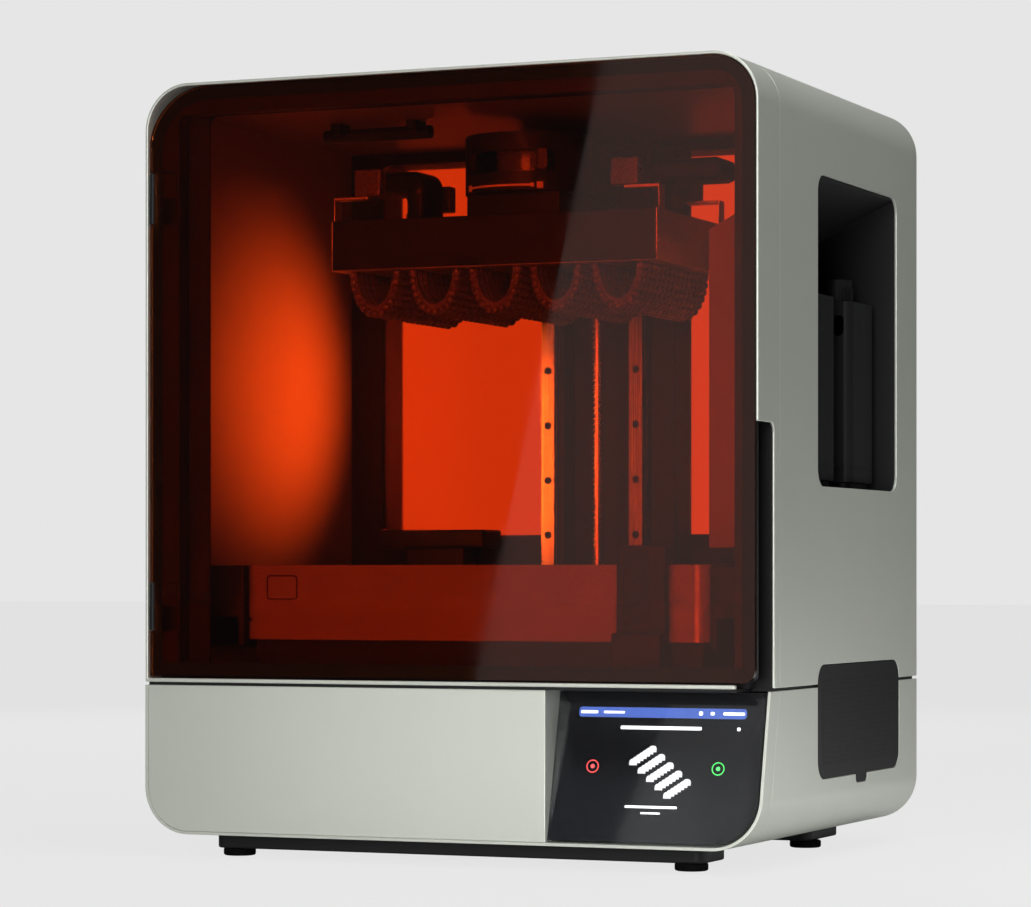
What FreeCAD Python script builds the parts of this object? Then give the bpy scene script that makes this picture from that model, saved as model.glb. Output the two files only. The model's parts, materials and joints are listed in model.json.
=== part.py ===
"""Desktop resin printer: tinted door, lifting platform, resin tank, cartridges and a screen in its base.

Millimetres. The origin is on the floor under the middle of the footprint.
+X is the printer's right, +Y its back and +Z is up.
"""
import FreeCAD, Part
import math
import os

V = FreeCAD.Vector
X_DIR = V(1, 0, 0)
Y_DIR = V(0, 1, 0)
Z_DIR = V(0, 0, 1)

# Body shell
BODY_W = 664.0
BODY_FRONT = -260.0
BODY_REAR = 260.0
BODY_BOTTOM = 23.0
BODY_TOP = 789.0
CORNER_R = 48.0
SHELL_T = 3.0
BASE_TOP = 175.0
DECK_T = 3.0
FRAME_BAND = 63.0
PART_GAP = 0.5
CUT_OVER = 1.0

# Feet and skids
FOOT_R = 16.5
FOOT_H = 8.0
FRONT_FOOT_INSET = 19.0
FRONT_FOOT_Y = -214.0
REAR_FOOT_INSET = 12.0
REAR_FOOT_Y = 113.0
SKID_INSET = 66.0
SKID_ROUND = 10.0
FRONT_SKID_Y = (-232.0, -165.0)
REAR_SKID_Y = (90.0, 190.0)

# Base front and tilted screen
PANEL_T = 3.0
SCREEN_SIDE_W = 220.0
PANEL_RETURN = 45.0
SCREEN_RECESS = 36.0
SCREEN_BAND = 27.0
SCREEN_GLASS_T = 4.0
SCREEN_INSET = 1.4
DISPLAY_W = 176.0
DISPLAY_H = 112.0
DISPLAY_T = 4.0
DISPLAY_LOW = 26.0
BRACKET_T = 3.0
BRACKET_INSET = 3.0

# Door and its hinges
GLASS_T = 6.0
GLASS_BACK_GAP = 0.5
DOOR_GAP = 1.0
DOOR_LIFT = 6.0
DOOR_CORNER_LOW = 12.0
DOOR_CORNER_HINGE = 66.0
DOOR_DEPTH = 25.6
DOOR_FRAME_LEFT = 12.0
DOOR_FRAME_RIGHT = 5.0
HINGE_LOW = (47.0, 95.0)
HINGE_HIGH = (138.0, 87.0)
HINGE_PIN_R = 1.5
HINGE_FIT = 0.05
HINGE_REACH = 26.0
HINGE_LEAF_T = 1.5
HINGE_CLEAR = 1.0

# Door jamb, gasket and finger notch
JAMB_SETBACK = 29.0
JAMB_T = 3.0
JAMB_LEFT_BAND = 60.0
JAMB_RIGHT_BAND = 26.0
JAMB_LOW_BAND = 12.0
JAMB_TOP_BAND = 32.0
JAMB_ROUND = 10.0
GASKET_T = 3.0
GASKET_LEFT = 33.0
GASKET_RIGHT = 5.5
GASKET_END = 14.0
GASKET_BAND = 5.0
GASKET_BAND_LEFT = 10.0
NOTCH_TOP = 434.0
NOTCH_DEPTH = 47.0
NOTCH_ROUND = 10.0
NOTCH_WIDTH = 20.0
SILL_H = 4.0
SILL_STOP = 24.0
SILL_T = 6.0

# Print chamber
CHAMBER_SIDE_ROOM = 16.0
CHAMBER_REAR_ROOM = 66.0
CHAMBER_TOP_ROOM = 24.0
LINER_T = 3.0
WINDOW_SIDE_ROOM = 53.0
WINDOW_LOW = 332.0
WINDOW_TOP_ROOM = 37.0
WINDOW_ROUND = 10.0
WINDOW_RIM = 6.0
WINDOW_PANE_T = 4.0
WINDOW_SETBACK = 3.0
REAR_PANEL_SETBACK = 8.0
REAR_PANEL_T = 3.0
LIGHT_TUBE_INSET = 92.0
LIGHT_TUBE_L = 124.0
LIGHT_TUBE_Y = -60.0
LIGHT_TUBE_R = 7.0
LIGHT_CLIP_T = 12.0
LIGHT_DROP = 12.0

# Cartridge bay in the right side
BAY_FRONT = -80.0
BAY_REAR_GAP = 7.0
BAY_FLOOR = 376.0
BAY_TOP_ROOM = 101.0
BAY_DEPTH = 110.0
BAY_ROOF_FALL = 0.49
BAY_WALL = 3.0
BAY_VALVE_H = 58.0
BAY_ROUND = 18.0
CARTRIDGE_DEPTH = 84.0
CARTRIDGE_SETBACK = 20.0
CARTRIDGE_W = 80.0
CARTRIDGE_CENTRES = (-2.0, 129.0)
CARTRIDGE_SEAT_H = 8.0
CARTRIDGE_LIFT = 0.3
CARTRIDGE_HEADROOM = 123.0
CARTRIDGE_ROUND = 9.0
CARTRIDGE_GRIP_W = 14.0
CARTRIDGE_GRIP_SETBACK = 8.0
CARTRIDGE_GRIP_ROUND = 6.0
CARTRIDGE_GRIP_DROP = 14.0
CARTRIDGE_GRIP_H = 22.0
CAP_R = 15.5
CAP_H = 25.0
CAP_SETBACK = 28.0
VALVE_R = 14.0
VALVE_H = 30.0
SEAT_MARGIN = 4.0

# Filter and its fan, low in the right side
COVER_Y = (-80.0, 194.0)
COVER_Z = (83.0, 197.0)
COVER_ROUND = 20.0
TAB_Y = (44.0, 81.0)
TAB_DROP = 9.0
TAB_ROUND = 6.0
FILTER_T = 41.0
FILTER_GAP = 3.0
FILTER_MARGIN = 16.0
FILTER_TOP = 170.0
FAN_STANDOFF = 10.0
FAN_T = 25.0
FAN_SIZE = 80.0
FAN_CENTRE = (57.0, 127.0)
FAN_BORE_R = 37.5
FAN_HUB_R = 17.0
FAN_BLADE_R = 35.0
FAN_BLADES = 7
FAN_BLADE_T = 2.0
FAN_BLADE_TWIST = 28.0
FAN_CLEAR = 0.5
FAN_SPOKE_W = 5.0
FAN_SPOKE_T = 4.0
FAN_SHAFT_R = 2.5
RUN_FIT = 0.05

# Light engine, tank stage and tank
AREA_SIDE_ROOM = 75.0
AREA_Y = (-133.0, 72.0)
AREA_MARGIN = 4.0
ENGINE_BOTTOM = 45.0
ENGINE_WALL = 4.0
BOARD_T = 3.0
LENS_T = 6.0
LENS_DROP = 30.0
TANK_SIDE_ROOM = 76.0
TANK_Y = (-186.0, 92.0)
TANK_BOTTOM = 221.0
TANK_TOP = 297.5
TANK_WALL = 6.0
TANK_ROUND = 16.0
TANK_GROOVE_Z = 241.5
TANK_GROOVE = 1.5
FILM_Z = 228.0
FILM_T = 0.6
MASK_T = 5.0
STAGE_INSET = 10.0
HANDLE_W = 55.0
HANDLE_Y = (-186.0, -60.0)
HANDLE_BOTTOM = 213.0
HANDLE_WALL = 8.0
HANDLE_GRIP_H = 30.0

# Z tower
TOWER_HALF = 62.0
TOWER_DEPTH = 38.0
TOWER_TOP_GAP = 7.0
CHANNEL_HALF = 38.0
CHANNEL_WALL = 8.0
RAIL_X = 51.5
RAIL_W = 15.0
RAIL_T = 15.0
RAIL_LOW = 196.0
RAIL_TOP_GAP = 10.0
RAIL_HOLE_LOW_END = 15.0
RAIL_HOLE_TOP_END = 57.0
RAIL_HOLES = 9
RAIL_HOLE_R = 4.2
RAIL_HOLE_DEPTH = 6.0
RAIL_SCREW_R = 4.0
RAIL_SCREW_H = 4.0
SCREW_SETBACK = 3.0
SCREW_R = 6.0
SCREW_TOP_GAP = 6.0
SCREW_END_GAP = 1.0
SCREW_NECK_R = 4.0
SCREW_NECK_TOP = 182.0
MOTOR_SIZE = 57.0
MOTOR_H = 76.0
MOTOR_SOCKET = 20.0
BEARING_H = 18.0
BEARING_LOW = 190.0
BEARING_HALF = 30.0
BEARING_PROUD = 6.0
DUCT_X = (70.0, 97.0)
DUCT_LOW = 190.0

# Carriage and platform at the top of their travel
PLATFORM_H = 52.0
PLATFORM_DROP = 29.0
PLATFORM_WALL = 6.0
PLATFORM_BOSS = (52.0, 90.0)
PLATFORM_BOSS_GAP = 0.3
SHEET_T = 1.0
STRIP_RISE = 25.0
STRIP_T = 3.0
TAB_SIZE = (30.0, 16.0, 28.0)
TAB_INSET = 6.0
TAB_SIDE_ROOM = 23.0
GRIP_INSET = 55.0
GRIP_POST_W = 24.0
GRIP_OVERHANG = 27.0
GRIP_Y = (-20.0, 34.0)
GRIP_RISE = 63.0
GRIP_ARM_T = 24.0
GRIP_ROUND = 16.0
CARRIAGE_HALF = 76.0
CARRIAGE_T = 12.0
CARRIAGE_H = 112.0
CARRIAGE_TOP_ROOM = 13.0
BLOCK_W = 33.0
BLOCK_T = 24.0
BLOCK_H = 42.0
BLOCK_FIT = 0.4
BLOCK_OFFSETS = (4.0, 66.0)
NUT_HALF = 17.0
NUT_LIFT = 36.0
NUT_H = 28.0
LOCK_Y = -32.0
LOCK_R = 67.0
LOCK_WALL = 8.0
LOCK_H = 60.0
LOCK_TOP_ROOM = 21.0
ARM_HALF = 46.0
LEVER_ANGLE = 32.0
LEVER_W = 9.0
LEVER_H = 20.0
LEVER_REACH = 84.0
ROTOR_R = 34.0
ROTOR_GAP = 1.0
SLOT_SPAN = 46.0

# Printed arches under the platform
PRINT_COLUMNS = 5
PRINT_ROWS = 15
PRINT_MARGIN_X = 11.75
PRINT_GAP_X = 7.7
PRINT_PITCH_Y = 13.0
PRINT_DROP = 54.0
PRINT_T = 8.0
PRINT_WALL_SHARE = 0.2
PRINT_ROUND_SHARE = 0.3

# Mixer
MIXER_INSET = 40.0
MIXER_W = 52.0
MIXER_FRONT = -202.0
MIXER_T = 12.0
MIXER_TOP = 316.5
MIXER_LOW = 230.5
MIXER_HOOK_T = 14.0
MIXER_GAP = 2.0
MIXER_LEG_T = 5.0
BLADE_INSET = 44.0
BLADE_W = 25.0
BLADE_H = 12.0
BLADE_LIFT = 0.8
DRIVE_LOW = 195.0
DRIVE_Y = (-216.0, -190.0)
SLIDE_INSET_LEFT = 4.0
SLIDE_INSET_RIGHT = 20.0
SLIDE_Y = (-212.0, -194.0)
SLIDE_FIT = 0.3

# Level sensor behind the tank
SENSOR_INSET = 18.0
SENSOR_W = 128.0
SENSOR_Y = (98.0, 150.0)
SENSOR_Z = (318.0, 337.0)
SENSOR_NECK_INSET = 49.0
SENSOR_NECK_W = 71.0
SENSOR_NECK_Y = (104.0, 140.0)

# Electrics in the base and on the rear panel
MAINBOARD_W = 150.0
MAINBOARD_Y = 80.0
MAINBOARD_Z = 40.0
SUPPLY_W = 75.0
BOARD_SIDE_ROOM = 49.0
SUPPLY_Y = (-160.0, 40.0)
SUPPLY_H = 60.0
INLET_INSET = 53.0
INLET_W = 48.0
SWITCH_INSET = 113.0
SWITCH_W = 28.0
PORTS_INSET = 179.0
PORTS_W = 60.0
REAR_IO_Z = (72.0, 100.0)
REAR_IO_DEPTH = 18.0
REAR_IO_PROUD = 2.0
REAR_IO_WALL = 4.0
SOCKET_DEPTH = 14.0
PIN_SIZE = (2.0, 6.0)
ROCKER_GAP = 1.5
ROCKER_PROUD = 1.5
ROCKER_PIN_R = 1.5
ROCKER_PIN_GAP = 1.0
PORT_W = 14.0
PORT_H = 7.0
PANEL_SCREW_R = 3.5
PANEL_SCREW_H = 2.0
PANEL_SCREW_INSET = 20.0

# Worked out from the sizes above
HALF_W = BODY_W / 2
INNER_HALF = HALF_W - SHELL_T
INNER_R = CORNER_R - SHELL_T
INNER_TOP = BODY_TOP - SHELL_T
INNER_BOTTOM = BODY_BOTTOM + SHELL_T
DECK_TOP = BASE_TOP + DECK_T
FRAME_SEAM = BODY_FRONT + FRAME_BAND
SKID_W = BODY_W - 2 * SKID_INSET
FRONT_FOOT_X = SKID_W / 2 - FRONT_FOOT_INSET
REAR_FOOT_X = SKID_W / 2 - REAR_FOOT_INSET
PANEL_RIGHT = HALF_W - SCREEN_SIDE_W
SCREEN_SLOPE = SCREEN_RECESS / (BASE_TOP - BODY_BOTTOM)
SCREEN_LEAN = math.degrees(math.atan(SCREEN_SLOPE))
DOOR_HALF = INNER_HALF - DOOR_GAP
DOOR_TOP = INNER_TOP - DOOR_GAP
DOOR_BOTTOM = DECK_TOP + DOOR_LIFT
DOOR_FRAME_BACK = BODY_FRONT + DOOR_DEPTH
GLASS_FRONT = BODY_FRONT + GLASS_BACK_GAP
GLASS_BACK = GLASS_FRONT + GLASS_T
HINGE_X = -DOOR_HALF + GLASS_T / 2
HINGE_Y = GLASS_FRONT + GLASS_T / 2
JAMB_Y = BODY_FRONT + JAMB_SETBACK
JAMB_LEFT = -HALF_W + JAMB_LEFT_BAND
JAMB_RIGHT = HALF_W - JAMB_RIGHT_BAND
JAMB_LOW = DECK_TOP + JAMB_LOW_BAND
JAMB_HIGH = BODY_TOP - JAMB_TOP_BAND
HINGE_SPANS = ((DOOR_BOTTOM + HINGE_LOW[0], DOOR_BOTTOM + HINGE_LOW[1]),
               (DOOR_TOP - HINGE_HIGH[0], DOOR_TOP - HINGE_HIGH[1]))
NOTCH_INNER = HALF_W - NOTCH_WIDTH
SILL_RIGHT = HALF_W - SILL_STOP
CHAMBER_HALF = HALF_W - CHAMBER_SIDE_ROOM
CHAMBER_BACK = BODY_REAR - CHAMBER_REAR_ROOM
CHAMBER_TOP = BODY_TOP - CHAMBER_TOP_ROOM
WINDOW_HALF = HALF_W - WINDOW_SIDE_ROOM
WINDOW_HIGH = BODY_TOP - WINDOW_TOP_ROOM
REAR_PANEL_Y = BODY_REAR - REAR_PANEL_SETBACK
LIGHT_TUBE_LEFT = -CHAMBER_HALF + LIGHT_TUBE_INSET
LIGHT_TUBE_X = (LIGHT_TUBE_LEFT, LIGHT_TUBE_LEFT + LIGHT_TUBE_L)
BAY_REAR = CHAMBER_BACK - BAY_REAR_GAP
BAY_INNER = HALF_W - BAY_DEPTH
BAY_TOP = BODY_TOP - BAY_TOP_ROOM
CARTRIDGE_H = BAY_TOP - BAY_FLOOR - CARTRIDGE_HEADROOM
CARTRIDGE_FACE = HALF_W - CARTRIDGE_SETBACK
CARTRIDGE_X = (CARTRIDGE_FACE - CARTRIDGE_DEPTH, CARTRIDGE_FACE)
CARTRIDGE_GRIP_FACE = CARTRIDGE_FACE - CARTRIDGE_GRIP_SETBACK
CARTRIDGE_GRIP = (CARTRIDGE_GRIP_FACE - CARTRIDGE_GRIP_W, CARTRIDGE_GRIP_FACE)
CAP_X = CARTRIDGE_FACE - CAP_SETBACK
FILTER_X = (INNER_HALF - FILTER_GAP - FILTER_T, INNER_HALF - FILTER_GAP)
FAN_X = FILTER_X[0] - FAN_STANDOFF - FAN_T
TANK_HALF = HALF_W - TANK_SIDE_ROOM
AREA_HALF_X = TANK_HALF - AREA_SIDE_ROOM
AREA_MID_Y = (AREA_Y[0] + AREA_Y[1]) / 2
TOWER_FACE = CHAMBER_BACK - TOWER_DEPTH
TOWER_TOP = CHAMBER_TOP - TOWER_TOP_GAP
CHANNEL_BACK = CHAMBER_BACK - CHANNEL_WALL
RAIL_FACE = TOWER_FACE - RAIL_T
RAIL_HIGH = TOWER_TOP - RAIL_TOP_GAP
RAIL_HOLE_FIRST = RAIL_LOW + RAIL_HOLE_LOW_END
RAIL_HOLE_PITCH = (RAIL_HIGH - RAIL_HOLE_TOP_END - RAIL_HOLE_FIRST) / (RAIL_HOLES - 1)
SCREW_Y = TOWER_FACE + SCREW_SETBACK
SCREW_TOP = TOWER_TOP - SCREW_TOP_GAP
BEARING_HIGH = SCREW_TOP - BEARING_H
BEARING_FRONT = TOWER_FACE - BEARING_PROUD
DUCT_Z = (DUCT_LOW, SCREW_TOP)
CARRIAGE_Y = RAIL_FACE - CARRIAGE_T
CARRIAGE_TOP = CHAMBER_TOP - CARRIAGE_TOP_ROOM
CARRIAGE_Z = (CARRIAGE_TOP - CARRIAGE_H, CARRIAGE_TOP)
NUT_Z = (CARRIAGE_Z[0] + NUT_LIFT, CARRIAGE_Z[0] + NUT_LIFT + NUT_H)
LOCK_TOP = CHAMBER_TOP - LOCK_TOP_ROOM
LOCK_Z = (LOCK_TOP - LOCK_H, LOCK_TOP)
PLATFORM_TOP = LOCK_Z[0] - PLATFORM_DROP
PLATFORM_BOTTOM = PLATFORM_TOP - PLATFORM_H
STRIP_TOP = PLATFORM_TOP + STRIP_RISE
GRIP_TOP = PLATFORM_TOP + GRIP_RISE
GRIP_X = (AREA_HALF_X - GRIP_INSET, AREA_HALF_X - GRIP_INSET + GRIP_POST_W)
GRIP_REACH = AREA_HALF_X + GRIP_OVERHANG
PRINT_PITCH_X = 2 * (AREA_HALF_X - PRINT_MARGIN_X) / PRINT_COLUMNS
PRINT_W = PRINT_PITCH_X - PRINT_GAP_X
MIXER_X = (TANK_HALF - MIXER_INSET - MIXER_W, TANK_HALF - MIXER_INSET)
BLADE_X = (TANK_HALF - BLADE_INSET - BLADE_W, TANK_HALF - BLADE_INSET)
SLIDE_X = (-TANK_HALF + SLIDE_INSET_LEFT, TANK_HALF - SLIDE_INSET_RIGHT)
SENSOR_X = (-TANK_HALF + SENSOR_INSET, -TANK_HALF + SENSOR_INSET + SENSOR_W)
SENSOR_NECK_X = (-TANK_HALF + SENSOR_NECK_INSET, -TANK_HALF + SENSOR_NECK_INSET + SENSOR_NECK_W)
BOARD_LEFT = -INNER_HALF + BOARD_SIDE_ROOM
MAINBOARD_X = (BOARD_LEFT, BOARD_LEFT + MAINBOARD_W)
SUPPLY_X = (BOARD_LEFT, BOARD_LEFT + SUPPLY_W)
INLET_X = (-INNER_HALF + INLET_INSET, -INNER_HALF + INLET_INSET + INLET_W)
SWITCH_X = (-INNER_HALF + SWITCH_INSET, -INNER_HALF + SWITCH_INSET + SWITCH_W)
PORTS_X = (-INNER_HALF + PORTS_INSET, -INNER_HALF + PORTS_INSET + PORTS_W)


def box(x, y, z):
    """Block between low and high values on each axis."""
    return Part.makeBox(x[1] - x[0], y[1] - y[0], z[1] - z[0], V(x[0], y[0], z[0]))


def span(middle, size):
    """Low and high values of a size about its middle."""
    return (middle - size / 2, middle + size / 2)


def rod(start, axis, radius, length):
    """Round bar from a start point along an axis."""
    return Part.makeCylinder(radius, length, V(*start), axis)


def slab(plane, a, b, c, radii=(0, 0, 0, 0)):
    """Plate with rounded corners: a and b lie in the plane, c is its thickness.

    The radii are given low-low, high-low, high-high, low-high.
    """
    place = {
        "xz": lambda u, v: V(u, c[0], v),
        "yz": lambda u, v: V(c[0], u, v),
        "xy": lambda u, v: V(u, v, c[0]),
    }
    normal = {"xz": Y_DIR, "yz": X_DIR, "xy": Z_DIR}[plane]
    corners = ((a[0], b[0], 1, 1), (a[1], b[0], -1, 1), (a[1], b[1], -1, -1), (a[0], b[1], 1, -1))
    runs = []
    for (u, v, du, dv), radius in zip(corners, radii):
        bend = radius * (1 - math.sqrt(0.5))
        along_u = place[plane](u + du * radius, v)
        along_v = place[plane](u, v + dv * radius)
        middle = place[plane](u + du * bend, v + dv * bend)
        runs.append((along_v, middle, along_u) if du == dv else (along_u, middle, along_v))
    edges = []
    for index, (first, middle, last) in enumerate(runs):
        if first.distanceToPoint(last) > 1e-6:
            edges.append(Part.Arc(first, middle, last).toShape())
        following = runs[(index + 1) % 4][0]
        if last.distanceToPoint(following) > 1e-6:
            edges.append(Part.LineSegment(last, following).toShape())
    face = Part.Face(Part.Wire(edges))
    return face.extrude(normal * (c[1] - c[0]))


def prism_yz(points, x):
    """Prism along X over an outline of (Y, Z) points."""
    outline = [V(x[0], y, z) for y, z in points]
    face = Part.Face(Part.makePolygon(outline + outline[:1]))
    return face.extrude(V(x[1] - x[0], 0, 0))


def prism_xz(points, y):
    """Prism along Y over an outline of (X, Z) points."""
    outline = [V(x, y[0], z) for x, z in points]
    face = Part.Face(Part.makePolygon(outline + outline[:1]))
    return face.extrude(V(0, y[1] - y[0], 0))


def join(first, *others):
    """One solid from pieces that touch."""
    return first.fuse(list(others)).removeSplitter()


def save(name, *solids):
    """Write one node, as a group where it has several solids."""
    shape = solids[0] if len(solids) == 1 else Part.makeCompound(list(solids))
    shape.exportStep("parts/" + name + ".step")


def grown(limits, by):
    """Limits moved outwards on both ends."""
    return (limits[0] - by, limits[1] + by)


def screen_front(z):
    """Y of the tilted screen's front at a height."""
    return BODY_FRONT + SCREEN_SLOPE * (z - BODY_BOTTOM)


def ahead_of_slope(offset, x):
    """Everything in front of a plane parallel to the screen."""
    low, high = 0.0, BODY_TOP
    points = ((2 * BODY_FRONT, low), (screen_front(low) + offset, low),
              (screen_front(high) + offset, high), (2 * BODY_FRONT, high))
    return prism_yz(points, x)


def on_slope(shape):
    """Lean an upright piece back into the screen's plane."""
    return shape.rotated(V(0, BODY_FRONT, BODY_BOTTOM), X_DIR, -SCREEN_LEAN)


def feet_and_skids():
    rows = ((FRONT_FOOT_X, FRONT_FOOT_Y), (REAR_FOOT_X, REAR_FOOT_Y))
    spots = [(side * x, y) for x, y in rows for side in (-1, 1)]
    save("feet", *[rod((x, y, 0), Z_DIR, FOOT_R, FOOT_H) for x, y in spots])
    bars = [slab("xy", span(0, SKID_W), depth, (FOOT_H, BODY_BOTTOM), (SKID_ROUND,) * 4)
            for depth in (FRONT_SKID_Y, REAR_SKID_Y)]
    save("skid_bars", *bars)


def cover_hole():
    """Cut through the right side for the filter cover."""
    x = (INNER_HALF - SHELL_T, HALF_W + SHELL_T)
    main = slab("yz", grown(COVER_Y, PART_GAP), grown(COVER_Z, PART_GAP), x, (COVER_ROUND,) * 4)
    low = COVER_Z[0] - TAB_DROP - PART_GAP
    tab_z = (low, COVER_Z[0] + COVER_ROUND)
    tab = slab("yz", grown(TAB_Y, PART_GAP), tab_z, x, (TAB_ROUND, TAB_ROUND, 0, 0))
    return join(main, tab)


def base_shells():
    low_round = (CORNER_R, CORNER_R, 0, 0)
    outer = slab("xz", (-HALF_W, HALF_W), (BODY_BOTTOM, BASE_TOP), (BODY_FRONT, BODY_REAR), low_round)
    depth = grown((BODY_FRONT, BODY_REAR), CUT_OVER)
    hollow = slab("xz", (-INNER_HALF, INNER_HALF), (INNER_BOTTOM, BODY_TOP), depth, (INNER_R, INNER_R, 0, 0))
    ring = outer.cut(hollow)
    front_of_seam = ahead_of_slope(SCREEN_BAND, (-BODY_W, BODY_W))
    save("lower_shell", ring.cut(front_of_seam).cut(cover_hole()))
    save("lower_bezel", ring.common(front_of_seam).cut(ahead_of_slope(0, (PANEL_RIGHT, BODY_W))))
    panel_z = (INNER_BOTTOM, BASE_TOP)
    plate_y = (BODY_FRONT, BODY_FRONT + PANEL_T)
    plate = slab("xz", (-INNER_HALF, PANEL_RIGHT), panel_z, plate_y, (INNER_R, 0, 0, 0))
    side = box((PANEL_RIGHT - PANEL_T, PANEL_RIGHT), (BODY_FRONT, BODY_FRONT + PANEL_RETURN), panel_z)
    save("front_panel", join(plate, side))


def screen():
    length = (BASE_TOP - BODY_BOTTOM) / math.cos(math.radians(SCREEN_LEAN))
    right = INNER_HALF - SCREEN_INSET
    left = PANEL_RIGHT + SCREEN_INSET
    low = INNER_BOTTOM + SCREEN_INSET
    high = BODY_BOTTOM + length - SCREEN_INSET
    corner = (0, INNER_R, 0, 0)
    y = BODY_FRONT
    glass = slab("xz", (left, right), (low, high), (y, y + SCREEN_GLASS_T), corner)
    save("screen_glass", on_slope(glass))
    y += SCREEN_GLASS_T
    display = box(span((left + right) / 2, DISPLAY_W), (y, y + DISPLAY_T),
                  (BODY_BOTTOM + DISPLAY_LOW, BODY_BOTTOM + DISPLAY_LOW + DISPLAY_H))
    save("display_panel", on_slope(display))
    bracket = slab("xz", (left, right - BRACKET_INSET), (low + BRACKET_INSET, high),
                   (y, y + DISPLAY_T + BRACKET_T), corner)
    save("screen_bracket", on_slope(bracket.cut(display)))


def upper_ring(y):
    top_round = (0, 0, CORNER_R, CORNER_R)
    outer = slab("xz", (-HALF_W, HALF_W), (DECK_TOP, BODY_TOP), y, top_round)
    inner_x = (-INNER_HALF, INNER_HALF)
    hollow = slab("xz", inner_x, (BODY_BOTTOM, INNER_TOP), grown(y, CUT_OVER), (0, 0, INNER_R, INNER_R))
    return outer.cut(hollow)


def upper_shells():
    wall_x = grown((INNER_HALF, HALF_W), CUT_OVER)
    bay_hole = slab("yz", (BAY_FRONT, BAY_REAR), (BAY_FLOOR, BAY_TOP), wall_x, (BAY_ROUND,) * 4)
    save("upper_shell", upper_ring((FRAME_SEAM, BODY_REAR)).cut(bay_hole).cut(cover_hole()))
    notch = slab("yz", (BODY_FRONT - CUT_OVER, BODY_FRONT + NOTCH_DEPTH), (BODY_BOTTOM, NOTCH_TOP),
                 wall_x, (0, 0, NOTCH_ROUND, 0))
    sill = box((-INNER_HALF, SILL_RIGHT), (BODY_FRONT, BODY_FRONT + SILL_T), (DECK_TOP, DECK_TOP + SILL_H))
    save("front_frame", join(upper_ring((BODY_FRONT, FRAME_SEAM)).cut(notch), sill))


def rear_openings(y):
    """Holes that the window and the connectors need through a rear wall."""
    io = [box(x, y, REAR_IO_Z) for x in (INLET_X, SWITCH_X, PORTS_X)]
    window = slab("xz", (-WINDOW_HALF, WINDOW_HALF), (WINDOW_LOW, WINDOW_HIGH), y, (WINDOW_ROUND,) * 4)
    return window.fuse(io)


def panel_screw_spots():
    x = INNER_HALF - PANEL_SCREW_INSET
    heights = (BODY_BOTTOM + CORNER_R, BASE_TOP - CORNER_R, (DECK_TOP + BODY_TOP) / 2, BODY_TOP - CORNER_R)
    return [(side * x, z) for side in (-1, 1) for z in heights]


def rear_panel():
    half = INNER_HALF - PART_GAP
    y = (REAR_PANEL_Y, REAR_PANEL_Y + REAR_PANEL_T)
    z = (INNER_BOTTOM + PART_GAP, INNER_TOP - PART_GAP)
    panel = slab("xz", (-half, half), z, y, (INNER_R - PART_GAP,) * 4)
    save("rear_panel", panel.cut(rear_openings(grown(y, CUT_OVER))))


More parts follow.
